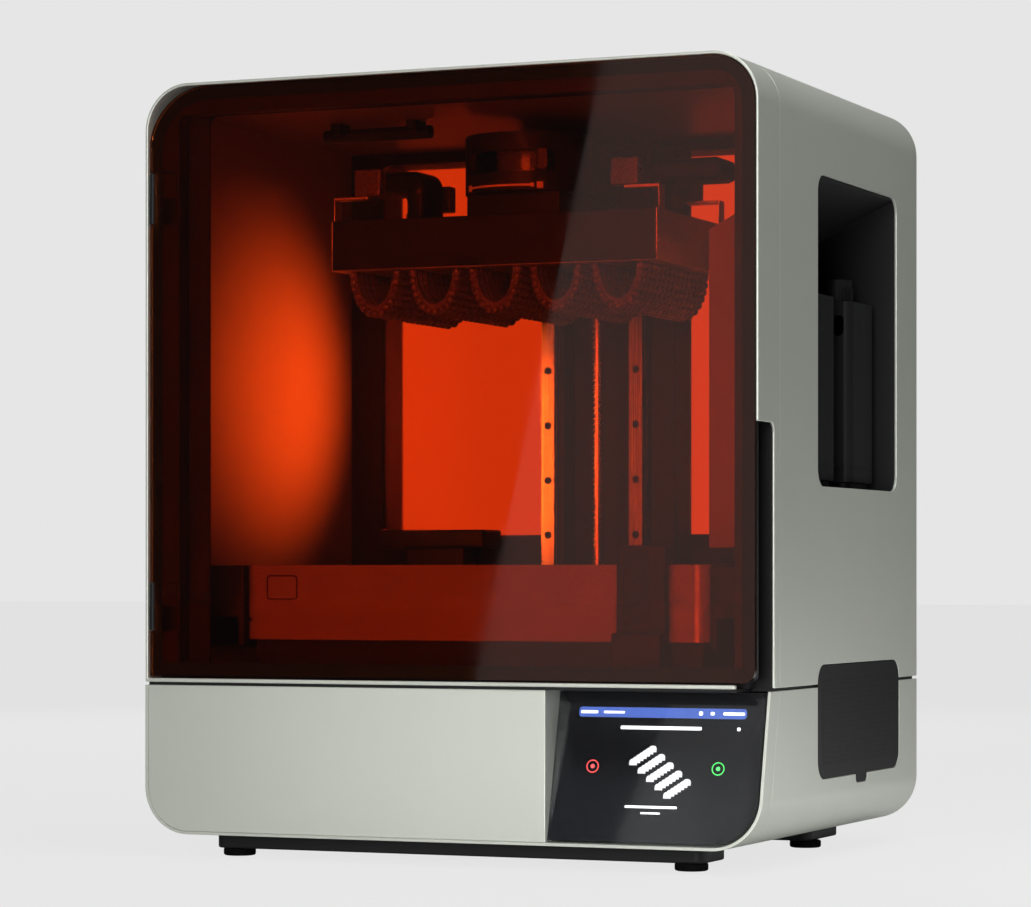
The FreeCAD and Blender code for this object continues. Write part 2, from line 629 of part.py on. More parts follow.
def chamber():
    front = JAMB_Y + JAMB_T
    deck = box((-INNER_HALF, INNER_HALF), (BODY_FRONT + PANEL_T, REAR_PANEL_Y), (BASE_TOP, DECK_TOP))
    light_way = box((-AREA_HALF_X, AREA_HALF_X), AREA_Y, (BASE_TOP, DECK_TOP))
    screw_way = rod((0, SCREW_Y, BASE_TOP), Z_DIR, SCREW_R + AREA_MARGIN, DECK_T)
    filter_way = box((FILTER_X[0], HALF_W), grown(COVER_Y, AREA_MARGIN), (BASE_TOP, DECK_TOP))
    notch_way = box((SILL_RIGHT, HALF_W), (BODY_FRONT, BODY_FRONT + NOTCH_DEPTH), (BASE_TOP, DECK_TOP))
    save("deck_plate", deck.cut(light_way).cut(screw_way).cut(filter_way).cut(notch_way))

    back_y = (CHAMBER_BACK, CHAMBER_BACK + LINER_T)
    back = box((-CHAMBER_HALF, CHAMBER_HALF), back_y, (DECK_TOP, CHAMBER_TOP))
    opening = slab("xz", (-WINDOW_HALF, WINDOW_HALF), (WINDOW_LOW, WINDOW_HIGH), back_y, (WINDOW_ROUND,) * 4)
    back = back.cut(opening)
    wall_z = (DECK_TOP, CHAMBER_TOP)
    left = box((-CHAMBER_HALF - LINER_T, -CHAMBER_HALF), (front, back_y[1]), wall_z)
    right = box((CHAMBER_HALF, CHAMBER_HALF + LINER_T), (front, BAY_FRONT - BAY_WALL), wall_z)
    ceiling = box((-CHAMBER_HALF - LINER_T, CHAMBER_HALF + LINER_T), (front, back_y[1]),
                  (CHAMBER_TOP, CHAMBER_TOP + LINER_T))
    save("chamber_walls", left, right.cut(finger_pocket_space(PART_GAP)), ceiling)

    frame_y = (back_y[1], REAR_PANEL_Y)
    rim_round = (WINDOW_ROUND + WINDOW_RIM,) * 4
    rim_x = grown((-WINDOW_HALF, WINDOW_HALF), WINDOW_RIM)
    rim_z = grown((WINDOW_LOW, WINDOW_HIGH), WINDOW_RIM)
    rim = slab("xz", rim_x, rim_z, frame_y, rim_round)
    hole = slab("xz", (-WINDOW_HALF, WINDOW_HALF), (WINDOW_LOW, WINDOW_HIGH), frame_y, (WINDOW_ROUND,) * 4)
    save("chamber_back", join(back, rim.cut(hole)))
    pane_y = (frame_y[0] + WINDOW_SETBACK, frame_y[0] + WINDOW_SETBACK + WINDOW_PANE_T)
    pane = slab("xz", (-WINDOW_HALF, WINDOW_HALF), (WINDOW_LOW, WINDOW_HIGH), pane_y, (WINDOW_ROUND,) * 4)
    save("rear_window", pane)

    tube_z = CHAMBER_TOP - LIGHT_DROP
    length = LIGHT_TUBE_X[1] - LIGHT_TUBE_X[0]
    tube = rod((LIGHT_TUBE_X[0], LIGHT_TUBE_Y, tube_z), X_DIR, LIGHT_TUBE_R, length)
    clips = []
    for x in (LIGHT_TUBE_X[0] + LIGHT_CLIP_T, LIGHT_TUBE_X[1] - 2 * LIGHT_CLIP_T):
        clip_y = span(LIGHT_TUBE_Y, 2 * LIGHT_TUBE_R + LIGHT_CLIP_T)
        block = box((x, x + LIGHT_CLIP_T), clip_y, (tube_z, CHAMBER_TOP))
        clips.append(block.cut(tube))
    save("chamber_light", tube, *clips)


def finger_pocket_space(extra=0.0):
    """Room behind the door's free edge, reached through the notch in the frame."""
    x = (NOTCH_INNER - SHELL_T - extra, INNER_HALF)
    rim = SHELL_T + extra
    return box(x, (JAMB_Y, BODY_FRONT + NOTCH_DEPTH + rim), (DECK_TOP, NOTCH_TOP + rim))


def door_surround():
    half = INNER_HALF - PART_GAP
    jamb_y = (JAMB_Y, JAMB_Y + JAMB_T)
    jamb = slab("xz", (-half, half), (DECK_TOP, INNER_TOP - PART_GAP), jamb_y,
                (0, 0, INNER_R - PART_GAP, INNER_R - PART_GAP))
    opening = slab("xz", (JAMB_LEFT, JAMB_RIGHT), (JAMB_LOW, JAMB_HIGH), jamb_y, (JAMB_ROUND,) * 4)
    space = finger_pocket_space()
    room = box((NOTCH_INNER, INNER_HALF), (JAMB_Y, BODY_FRONT + NOTCH_DEPTH), (DECK_TOP, NOTCH_TOP))
    save("door_jamb", join(jamb.cut(opening).cut(space), space.cut(room)))

    gasket_y = (JAMB_Y - GASKET_T, JAMB_Y)
    outer_x = (JAMB_LEFT - GASKET_LEFT, JAMB_RIGHT + GASKET_RIGHT - PANEL_T)
    outer_z = (JAMB_LOW - GASKET_BAND, JAMB_HIGH + GASKET_END)
    inner_x = (outer_x[0] + GASKET_BAND_LEFT, outer_x[1] - GASKET_BAND / 2)
    inner_z = grown(outer_z, -GASKET_BAND)
    ring = slab("xz", outer_x, outer_z, gasket_y, (JAMB_ROUND,) * 4)
    save("door_gasket", ring.cut(slab("xz", inner_x, inner_z, gasket_y, (JAMB_ROUND / 2,) * 4)))


def door():
    top_round = INNER_R - DOOR_GAP
    glass = slab("xz", (-DOOR_HALF, DOOR_HALF), (DOOR_BOTTOM, DOOR_TOP), (GLASS_FRONT, GLASS_BACK),
                 (0, DOOR_CORNER_LOW, top_round, DOOR_CORNER_HINGE))
    square_edge = box((-DOOR_HALF, HINGE_X), (GLASS_FRONT, GLASS_BACK), (DOOR_BOTTOM, DOOR_TOP))
    round_edge = rod((HINGE_X, HINGE_Y, DOOR_BOTTOM), Z_DIR, GLASS_T / 2, DOOR_TOP - DOOR_BOTTOM)
    glass = join(glass.cut(square_edge), round_edge.common(glass))
    frame_x = (-DOOR_HALF + DOOR_FRAME_LEFT, DOOR_HALF - DOOR_FRAME_RIGHT)
    frame_y = (GLASS_BACK, DOOR_FRAME_BACK)
    frame_z = (DOOR_BOTTOM + PART_GAP, DOOR_TOP - PART_GAP)
    corner = DOOR_CORNER_HINGE - DOOR_FRAME_LEFT
    frame = slab("xz", frame_x, frame_z, frame_y, (0, DOOR_CORNER_LOW / 2, top_round, corner))
    view_x = (JAMB_LEFT - GASKET_LEFT + GASKET_BAND_LEFT, JAMB_RIGHT)
    view = slab("xz", view_x, (JAMB_LOW, JAMB_HIGH), frame_y, (JAMB_ROUND,) * 4)
    frame = frame.cut(view)
    fixed, moving, pins = [], [], []
    for low, high in HINGE_SPANS:
        room = grown((low, high), HINGE_CLEAR)
        knuckle_x = (-HALF_W, HINGE_X + GLASS_T / 2 + HINGE_CLEAR)
        glass = glass.cut(box(knuckle_x, (BODY_FRONT, GLASS_BACK), room))
        leaf_x = (HINGE_X, HINGE_X + HINGE_REACH)
        leaf_y = (GLASS_BACK, GLASS_BACK + HINGE_LEAF_T)
        frame = frame.cut(box((-HALF_W, leaf_x[1] + HINGE_CLEAR), frame_y, room))
        middle = (low + high) / 2
        hole = rod((HINGE_X, HINGE_Y, low), Z_DIR, HINGE_PIN_R + HINGE_FIT, high - low)
        lower = rod((HINGE_X, HINGE_Y, low), Z_DIR, GLASS_T / 2, middle - low)
        upper = rod((HINGE_X, HINGE_Y, middle + HINGE_FIT), Z_DIR, GLASS_T / 2, high - middle - HINGE_FIT)
        back_x = (-INNER_HALF, HINGE_X)
        wall_leaf = box((-INNER_HALF, -INNER_HALF + HINGE_LEAF_T), (HINGE_Y, JAMB_Y), (low, middle))
        tongue = box(back_x, (HINGE_Y, HINGE_Y + HINGE_LEAF_T), (low, middle))
        pin = rod((HINGE_X, HINGE_Y, low), Z_DIR, HINGE_PIN_R, high - low)
        fixed.append(join(lower, wall_leaf, tongue).cut(pin))
        tail = box(leaf_x, leaf_y, (middle + HINGE_FIT, high))
        web = box((HINGE_X, HINGE_X + HINGE_LEAF_T), (HINGE_Y, leaf_y[1]), (middle + HINGE_FIT, high))
        moving.append(join(upper, web, tail).cut(hole))
        pins.append(pin)
    save("door_glass", glass)
    save("door_frame", frame, *moving)
    save("hinge_leaves", *fixed, *pins)


def bay_roof(x):
    return BAY_TOP - BAY_ROOF_FALL * (HALF_W - x)


def cartridge_bay():
    outer_x = (BAY_INNER - BAY_WALL, INNER_HALF)
    outer_y = grown((BAY_FRONT, BAY_REAR), BAY_WALL)
    low = BAY_FLOOR - BAY_WALL - BAY_VALVE_H
    outline = ((outer_x[0], low), (outer_x[1], low), (outer_x[1], bay_roof(outer_x[1]) + BAY_WALL),
               (outer_x[0], bay_roof(outer_x[0]) + BAY_WALL))
    room = ((BAY_INNER, BAY_FLOOR), (outer_x[1], BAY_FLOOR), (outer_x[1], bay_roof(outer_x[1])),
            (BAY_INNER, bay_roof(BAY_INNER)))
    below = ((BAY_INNER, low), (outer_x[1] - BAY_WALL, low), (outer_x[1] - BAY_WALL, BAY_FLOOR - BAY_WALL),
             (BAY_INNER, BAY_FLOOR - BAY_WALL))
    inner_y = (BAY_FRONT, BAY_REAR)
    bay = prism_xz(outline, outer_y).cut(prism_xz(room, inner_y)).cut(prism_xz(below, inner_y))
    seats, valves = [], []
    middle_x = (CARTRIDGE_X[0] + CARTRIDGE_X[1]) / 2
    for y in CARTRIDGE_CENTRES:
        bay = bay.cut(rod((middle_x, y, BAY_FLOOR - BAY_WALL), Z_DIR, VALVE_R, BAY_WALL))
        seats.append(slab("xy", grown(CARTRIDGE_X, -SEAT_MARGIN), span(y, CARTRIDGE_W - 2 * SEAT_MARGIN),
                          (BAY_FLOOR, BAY_FLOOR + CARTRIDGE_SEAT_H), (CARTRIDGE_ROUND,) * 4))
        valves.append(rod((middle_x, y, BAY_FLOOR - VALVE_H), Z_DIR, VALVE_R, VALVE_H))
    save("cartridge_bay", bay)
    save("cartridge_seats", *seats, *valves)
    bottom = BAY_FLOOR + CARTRIDGE_SEAT_H + CARTRIDGE_LIFT
    top = bottom + CARTRIDGE_H
    for name, y in zip(("front", "rear"), CARTRIDGE_CENTRES):
        width = span(y, CARTRIDGE_W)
        bottle = slab("xy", CARTRIDGE_X, width, (bottom, top), (CARTRIDGE_ROUND,) * 4)
        grip_z = (top - CARTRIDGE_GRIP_DROP - CARTRIDGE_GRIP_H, top - CARTRIDGE_GRIP_DROP)
        grip = slab("xz", CARTRIDGE_GRIP, grip_z, width, (CARTRIDGE_GRIP_ROUND,) * 4)
        save(name + "_cartridge", bottle.cut(grip), rod((CAP_X, y, top), Z_DIR, CAP_R, CAP_H))


def filter_unit():
    x = (INNER_HALF, HALF_W)
    cover = slab("yz", COVER_Y, COVER_Z, x, (COVER_ROUND,) * 4)
    tab_z = (COVER_Z[0] - TAB_DROP, COVER_Z[0] + COVER_ROUND)
    tab = slab("yz", TAB_Y, tab_z, x, (TAB_ROUND, TAB_ROUND, 0, 0))
    save("filter_cover", join(cover, tab))
    filter_z = (COVER_Z[0] + FILTER_MARGIN, FILTER_TOP)
    save("carbon_filter", box(FILTER_X, grown(COVER_Y, -FILTER_MARGIN), filter_z))
    y, z = FAN_CENTRE
    fan_x = (FAN_X, FAN_X + FAN_T)
    back_x = (FAN_X, FAN_X + FAN_SPOKE_T)
    frame = box(fan_x, span(y, FAN_SIZE), span(z, FAN_SIZE))
    frame = frame.cut(rod((FAN_X, y, z), X_DIR, FAN_BORE_R, FAN_T))
    spokes = [box(back_x, span(y, FAN_SIZE), span(z, FAN_SPOKE_W)),
              box(back_x, span(y, FAN_SPOKE_W), span(z, FAN_SIZE))]
    frame = join(frame, rod((FAN_X, y, z), X_DIR, FAN_HUB_R, FAN_SPOKE_T), *spokes)
    frame = frame.cut(rod((FAN_X, y, z), X_DIR, FAN_SHAFT_R + RUN_FIT, FAN_T))
    front = back_x[1] + FAN_CLEAR
    length = fan_x[1] - front - FAN_CLEAR
    rotor = rod((front, y, z), X_DIR, FAN_HUB_R, length)
    blades = []
    for index in range(FAN_BLADES):
        blade = box((front, front + length), span(y, FAN_BLADE_T), (z, z + FAN_BLADE_R))
        blade = blade.rotated(V(front + length / 2, y, z), Z_DIR, FAN_BLADE_TWIST)
        blade = blade.common(rod((front, y, z), X_DIR, FAN_BLADE_R, length))
        blades.append(blade.rotated(V(0, y, z), X_DIR, 360.0 * index / FAN_BLADES))
    shaft = rod((FAN_X, y, z), X_DIR, FAN_SHAFT_R, FAN_T / 2)
    save("fan_rotor", join(rotor, shaft, *blades))
    hold = box((fan_x[1], FILTER_X[0]), span(y, FAN_SIZE), span(z, FAN_SIZE))
    duct = hold.cut(rod((fan_x[1], y, z), X_DIR, FAN_BORE_R, FILTER_X[0] - fan_x[1]))
    foot = box((fan_x[0], INNER_HALF - INNER_R), span(y, FAN_SIZE), (INNER_BOTTOM, z - FAN_SIZE / 2))
    save("fan_frame", join(frame, duct, foot))


def light_engine():
    x = grown((-AREA_HALF_X, AREA_HALF_X), ENGINE_WALL)
    y = grown(AREA_Y, ENGINE_WALL)
    case = box(x, y, (INNER_BOTTOM, BASE_TOP))
    room = box((-AREA_HALF_X, AREA_HALF_X), AREA_Y, (ENGINE_BOTTOM, BASE_TOP))
    save("light_engine_case", case.cut(room))
    save("led_board", box((-AREA_HALF_X, AREA_HALF_X), AREA_Y, (ENGINE_BOTTOM, ENGINE_BOTTOM + BOARD_T)))
    lens_z = BASE_TOP - LENS_DROP
    save("lens_plate", box((-AREA_HALF_X, AREA_HALF_X), AREA_Y, (lens_z, lens_z + LENS_T)))


def tank():
    tank_x = (-TANK_HALF, TANK_HALF)
    inner_x = grown(tank_x, -TANK_WALL)
    inner_y = grown(TANK_Y, -TANK_WALL)
    stage_top = FILM_Z - FILM_T - MASK_T
    stage_outer = box(grown(tank_x, -STAGE_INSET), grown(TANK_Y, -STAGE_INSET), (DECK_TOP, TANK_BOTTOM))
    stage_hole = box((-AREA_HALF_X, AREA_HALF_X), AREA_Y, (DECK_TOP, TANK_BOTTOM))
    save("tank_stage", stage_outer.cut(stage_hole))
    mask_x = grown((-AREA_HALF_X, AREA_HALF_X), AREA_MARGIN)
    mask_y = grown(AREA_Y, AREA_MARGIN)
    window = box(mask_x, mask_y, (TANK_BOTTOM, FILM_Z))
    mask = box(mask_x, mask_y, (TANK_BOTTOM, stage_top + MASK_T))
    save("mask_screen", mask)
    rounds = (TANK_ROUND,) * 4
    body = slab("xy", tank_x, TANK_Y, (TANK_BOTTOM, TANK_TOP), rounds)
    room = slab("xy", inner_x, inner_y, (FILM_Z, TANK_TOP), (TANK_ROUND - TANK_WALL,) * 4)
    body = body.cut(room).cut(window)
    groove_z = span(TANK_GROOVE_Z, 2 * TANK_GROOVE)
    groove = box(tank_x, TANK_Y, groove_z).cut(
        slab("xy", grown(tank_x, -TANK_GROOVE), grown(TANK_Y, -TANK_GROOVE), groove_z, rounds))
    save("tank_body", body.cut(groove))
    save("tank_film", box(mask_x, mask_y, (FILM_Z - FILM_T, FILM_Z)))
    handles = []
    for side in (-1, 1):
        x = sorted((side * TANK_HALF, side * (TANK_HALF + HANDLE_W)))
        block = box(x, HANDLE_Y, (HANDLE_BOTTOM, TANK_TOP))
        grip_z = (HANDLE_BOTTOM, TANK_TOP - HANDLE_WALL)
        grip = box(grown(x, -HANDLE_WALL), grown(HANDLE_Y, -HANDLE_WALL), grip_z)
        finger = box(grown(x, -HANDLE_WALL), (HANDLE_Y[0], HANDLE_Y[0] + HANDLE_WALL),
                     (HANDLE_BOTTOM, HANDLE_BOTTOM + HANDLE_GRIP_H))
        handles.append(block.cut(grip).cut(finger))
    save("tank_handles", *handles)


def z_tower():
    column = box((-TOWER_HALF, TOWER_HALF), (TOWER_FACE, CHAMBER_BACK), (DECK_TOP, TOWER_TOP))
    channel = box((-CHANNEL_HALF, CHANNEL_HALF), (TOWER_FACE, CHANNEL_BACK), (DECK_TOP, TOWER_TOP))
    save("tower_column", column.cut(channel), box(DUCT_X, (RAIL_FACE, CHAMBER_BACK), DUCT_Z))
    screws, rails = [], []
    for x in (-RAIL_X, RAIL_X):
        rail = box(span(x, RAIL_W), (RAIL_FACE, TOWER_FACE), (RAIL_LOW, RAIL_HIGH))
        for index in range(RAIL_HOLES):
            z = RAIL_HOLE_FIRST + index * RAIL_HOLE_PITCH
            rail = rail.cut(rod((x, RAIL_FACE, z), Y_DIR, RAIL_HOLE_R, RAIL_HOLE_DEPTH))
            seat = RAIL_FACE + RAIL_HOLE_DEPTH - RAIL_SCREW_H
            screws.append(rod((x, seat, z), Y_DIR, RAIL_SCREW_R, RAIL_SCREW_H))
        rails.append(rail)
    save("linear_rails", *rails)
    back = REAR_PANEL_Y + REAR_PANEL_T
    heads = [rod((x, back, z), Y_DIR, PANEL_SCREW_R, PANEL_SCREW_H) for x, z in panel_screw_spots()]
    save("screws", *screws, *heads)
    blocks = []
    for z in (BEARING_LOW, BEARING_HIGH):
        block = box((-BEARING_HALF, BEARING_HALF), (BEARING_FRONT, CHANNEL_BACK), (z, z + BEARING_H))
        blocks.append(block.cut(rod((0, SCREW_Y, z), Z_DIR, SCREW_R + RUN_FIT, BEARING_H)))
    save("screw_bearings", *blocks)
    socket_low = BASE_TOP - MOTOR_SOCKET
    neck_low = socket_low + SCREW_END_GAP
    thread = rod((0, SCREW_Y, SCREW_NECK_TOP), Z_DIR, SCREW_R, SCREW_TOP - SCREW_NECK_TOP)
    neck = rod((0, SCREW_Y, neck_low), Z_DIR, SCREW_NECK_R, SCREW_NECK_TOP - neck_low)
    save("lead_screw", join(thread, neck))
    motor = box(span(0, MOTOR_SIZE), span(SCREW_Y, MOTOR_SIZE), (BASE_TOP - MOTOR_H, BASE_TOP))
    save("z_motor", motor.cut(rod((0, SCREW_Y, socket_low), Z_DIR, SCREW_NECK_R + RUN_FIT, MOTOR_SOCKET)))


def carriage():
    plate_y = (CARRIAGE_Y - CARRIAGE_T, CARRIAGE_Y)
    save("carriage_plate", box((-CARRIAGE_HALF, CARRIAGE_HALF), plate_y, CARRIAGE_Z))
    blocks = []
    for x in (-RAIL_X, RAIL_X):
        for lift in BLOCK_OFFSETS:
            z = CARRIAGE_Z[0] + lift
            block = box(span(x, BLOCK_W), (CARRIAGE_Y, CARRIAGE_Y + BLOCK_T), (z, z + BLOCK_H))
            way = box(span(x, RAIL_W + 2 * BLOCK_FIT), (RAIL_FACE - BLOCK_FIT, TOWER_FACE), (z, z + BLOCK_H))
            blocks.append(block.cut(way))
    nut = box((-NUT_HALF, NUT_HALF), (CARRIAGE_Y, SCREW_Y + NUT_HALF), NUT_Z)
    nut = nut.cut(rod((0, SCREW_Y, NUT_Z[0]), Z_DIR, SCREW_R + RUN_FIT, NUT_Z[1] - NUT_Z[0]))
    save("carriage_bearings", nut, *blocks)
    drum = rod((0, LOCK_Y, LOCK_Z[0]), Z_DIR, LOCK_R, LOCK_Z[1] - LOCK_Z[0])
    arm = box((-ARM_HALF, ARM_HALF), (LOCK_Y, CARRIAGE_Y - CARRIAGE_T), LOCK_Z)
    room_z = (LOCK_Z[0] + LOCK_WALL, LOCK_Z[1] - LOCK_WALL)
    room = rod((0, LOCK_Y, room_z[0]), Z_DIR, LOCK_R - LOCK_WALL, room_z[1] - room_z[0])
    slot_z = span((room_z[0] + room_z[1]) / 2, LEVER_H + 2 * ROTOR_GAP)
    slot_foot = V(0, LOCK_Y, slot_z[0])
    slot = Part.makeCylinder(LOCK_R + CUT_OVER, slot_z[1] - slot_z[0], slot_foot, Z_DIR, 2 * SLOT_SPAN)
    slot = slot.rotated(V(0, LOCK_Y, 0), Z_DIR, -90 - SLOT_SPAN)
    save("carriage_arm", join(drum, arm).cut(room).cut(slot))
    rotor = rod((0, LOCK_Y, room_z[0] + ROTOR_GAP), Z_DIR, ROTOR_R, room_z[1] - room_z[0] - 2 * ROTOR_GAP)
    lever = box(span(0, LEVER_W), (LOCK_Y - LEVER_REACH, LOCK_Y), grown(slot_z, -ROTOR_GAP))
    lever = lever.rotated(V(0, LOCK_Y, 0), Z_DIR, LEVER_ANGLE)
    save("lock_lever", join(rotor, lever))


def platform():
    plate_x = (-AREA_HALF_X + SHEET_T, AREA_HALF_X - SHEET_T)
    body = box(plate_x, AREA_Y, (PLATFORM_BOTTOM + SHEET_T, PLATFORM_TOP))
    room = box(grown(plate_x, -PLATFORM_WALL), grown(AREA_Y, -PLATFORM_WALL),
               (PLATFORM_BOTTOM + SHEET_T + PLATFORM_WALL, PLATFORM_TOP - PLATFORM_WALL))
    boss = box((-PLATFORM_BOSS[0], PLATFORM_BOSS[0]), span(LOCK_Y, PLATFORM_BOSS[1]),
               (PLATFORM_TOP, LOCK_Z[0] - PLATFORM_BOSS_GAP))
    save("platform_body", join(body.cut(room), boss))
    skin = box((-AREA_HALF_X, AREA_HALF_X), AREA_Y, (PLATFORM_BOTTOM, PLATFORM_TOP))
    inside_z = (PLATFORM_BOTTOM + SHEET_T, PLATFORM_TOP + CUT_OVER)
    skin = skin.cut(box(plate_x, grown(AREA_Y, CUT_OVER), inside_z))
    strips, tabs, grips = [], [], []
    tab_reach = AREA_HALF_X - TAB_SIDE_ROOM
    for side in (-1, 1):
        for low_y in (AREA_Y[0] + TAB_INSET, AREA_Y[1] - TAB_INSET - TAB_SIZE[1]):
            y = (low_y, low_y + TAB_SIZE[1])
            rise_x = sorted((side * AREA_HALF_X, side * (AREA_HALF_X - SHEET_T)))
            bend_x = sorted((side * AREA_HALF_X, side * (tab_reach - TAB_SIZE[0] / 2)))
            strips.append(box(rise_x, y, (PLATFORM_TOP, STRIP_TOP)))
            strips.append(box(bend_x, y, (STRIP_TOP - STRIP_T, STRIP_TOP)))
            tab_x = sorted((side * tab_reach, side * (tab_reach - TAB_SIZE[0])))
            tabs.append(box(tab_x, y, (STRIP_TOP, STRIP_TOP + TAB_SIZE[2])))
        post_x = sorted((side * GRIP_X[0], side * GRIP_X[1]))
        arm_x = sorted((side * GRIP_X[0], side * GRIP_REACH))
        post = box(post_x, GRIP_Y, (PLATFORM_TOP, GRIP_TOP - GRIP_ROUND))
        rounds = (0, 0, 0, GRIP_ROUND) if side > 0 else (0, 0, GRIP_ROUND, 0)
        arm = slab("xz", arm_x, (GRIP_TOP - GRIP_ARM_T, GRIP_TOP), GRIP_Y, rounds)
        grips.append(join(post, arm))
    save("flex_sheet", join(skin, *strips))
    save("flex_tabs", *tabs)
    save("platform_grips", *grips)


def printed_batch():
    arches = []
    wall = PRINT_W * PRINT_WALL_SHARE
    corner = PRINT_W * PRINT_ROUND_SHARE
    for column in range(PRINT_COLUMNS):
        x = (column - (PRINT_COLUMNS - 1) / 2) * PRINT_PITCH_X
        for row in range(PRINT_ROWS):
            y = AREA_MID_Y + (row - (PRINT_ROWS - 1) / 2) * PRINT_PITCH_Y
            width = span(x, PRINT_W)
            depth = span(y, PRINT_T)
            low = PLATFORM_BOTTOM - PRINT_DROP
            arch = slab("xz", width, (low, PLATFORM_BOTTOM), depth, (corner, corner, 0, 0))
            gap = slab("xz", grown(width, -wall), (low + wall, PLATFORM_BOTTOM), depth, (wall, wall, 0, 0))
            arches.append(arch.cut(gap))
    save("printed_batch", *arches)


def mixer():
    front = (MIXER_FRONT, MIXER_FRONT + MIXER_T)
    inner_face = TANK_Y[0] + TANK_WALL + MIXER_GAP
    bridge_z = (MIXER_TOP - MIXER_HOOK_T, MIXER_TOP)
    leg = box(MIXER_X, front, (MIXER_LOW, MIXER_TOP))
    bridge = box(MIXER_X, (MIXER_FRONT, inner_face + MIXER_LEG_T), bridge_z)
    blade_z = (FILM_Z + BLADE_LIFT, FILM_Z + BLADE_LIFT + BLADE_H)
    inner = box(BLADE_X, (inner_face, inner_face + MIXER_LEG_T), (blade_z[1], MIXER_TOP))
    drive = box(MIXER_X, DRIVE_Y, (DRIVE_LOW, MIXER_LOW))
    save("mixer_bracket", join(leg, bridge, inner, drive))
    save("mixer_blade", box(BLADE_X, (inner_face, TANK_Y[1] - TANK_WALL - MIXER_GAP), blade_z))
    slide = box(SLIDE_X, SLIDE_Y, (DECK_TOP, DRIVE_LOW - SLIDE_FIT))
    save("mixer_slide", slide)


def level_sensor():
    head = box(SENSOR_X, SENSOR_Y, SENSOR_Z)
    neck = box(SENSOR_NECK_X, SENSOR_NECK_Y, (DECK_TOP, SENSOR_Z[0]))
    save("level_sensor", join(head, neck))


def electrics():
    save("power_supply", box(SUPPLY_X, SUPPLY_Y, (INNER_BOTTOM, INNER_BOTTOM + SUPPLY_H)))
    back = REAR_PANEL_Y + REAR_PANEL_T + REAR_IO_PROUD
    y = (back - REAR_IO_DEPTH, back)
    middle_z = (REAR_IO_Z[0] + REAR_IO_Z[1]) / 2
    inlet = box(INLET_X, y, REAR_IO_Z)
    mouth = (y[1] - SOCKET_DEPTH, y[1])
    inlet = inlet.cut(slab("xz", grown(INLET_X, -2 * REAR_IO_WALL), grown(REAR_IO_Z, -REAR_IO_WALL), mouth,
                           (0, 0, REAR_IO_WALL, REAR_IO_WALL)))
    inlet_x = (INLET_X[0] + INLET_X[1]) / 2
    pins = []
    for step in (-1, 0, 1):
        x = inlet_x + step * 2 * REAR_IO_WALL
        pin_z = middle_z + (REAR_IO_WALL / 2 if step == 0 else -REAR_IO_WALL / 2)
        pins.append(box(span(x, PIN_SIZE[0]), (mouth[0], mouth[1] - REAR_IO_WALL), span(pin_z, PIN_SIZE[1])))
    rocker_x = grown(SWITCH_X, -REAR_IO_WALL)
    rocker_z = grown(REAR_IO_Z, -REAR_IO_WALL)
    housing = box(SWITCH_X, y, REAR_IO_Z).cut(box(rocker_x, mouth, rocker_z))
    pivot_y = (mouth[0] + mouth[1]) / 2
    pin_hole = rod((SWITCH_X[0], pivot_y, middle_z), X_DIR, ROCKER_PIN_R + RUN_FIT, SWITCH_W)
    save("power_inlet", join(inlet, *pins), housing.cut(pin_hole))
    body = box(grown(rocker_x, -ROCKER_GAP / 2), (pivot_y - ROCKER_PIN_R, mouth[1] + ROCKER_PROUD),
               grown(rocker_z, -ROCKER_GAP))
    pin_x = grown(SWITCH_X, -ROCKER_PIN_GAP)
    pin = rod((pin_x[0], pivot_y, middle_z), X_DIR, ROCKER_PIN_R, pin_x[1] - pin_x[0])
    save("power_rocker", join(body, pin))
    ports = box(PORTS_X, y, REAR_IO_Z)
    for step in (-1, 1):
        x = (PORTS_X[0] + PORTS_X[1]) / 2 + step * PORT_W
        ports = ports.cut(box(span(x, PORT_W), mouth, span(middle_z, PORT_H)))
    board = box(MAINBOARD_X, (MAINBOARD_Y, y[0]), (INNER_BOTTOM, MAINBOARD_Z))
    stand = box(PORTS_X, (y[0] - REAR_IO_WALL, y[0]), (MAINBOARD_Z, REAR_IO_Z[1]))
    save("mainboard", join(board, stand, ports))


def main():
    os.makedirs("parts", exist_ok=True)
    feet_and_skids()
    base_shells()
    screen()
    upper_shells()
    rear_panel()
    chamber()
    door_surround()
    door()
    cartridge_bay()
    filter_unit()
    light_engine()
    tank()
    z_tower()
    carriage()
    platform()
    printed_batch()
    mixer()
    level_sensor()
    electrics()


main()
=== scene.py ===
import json
import math

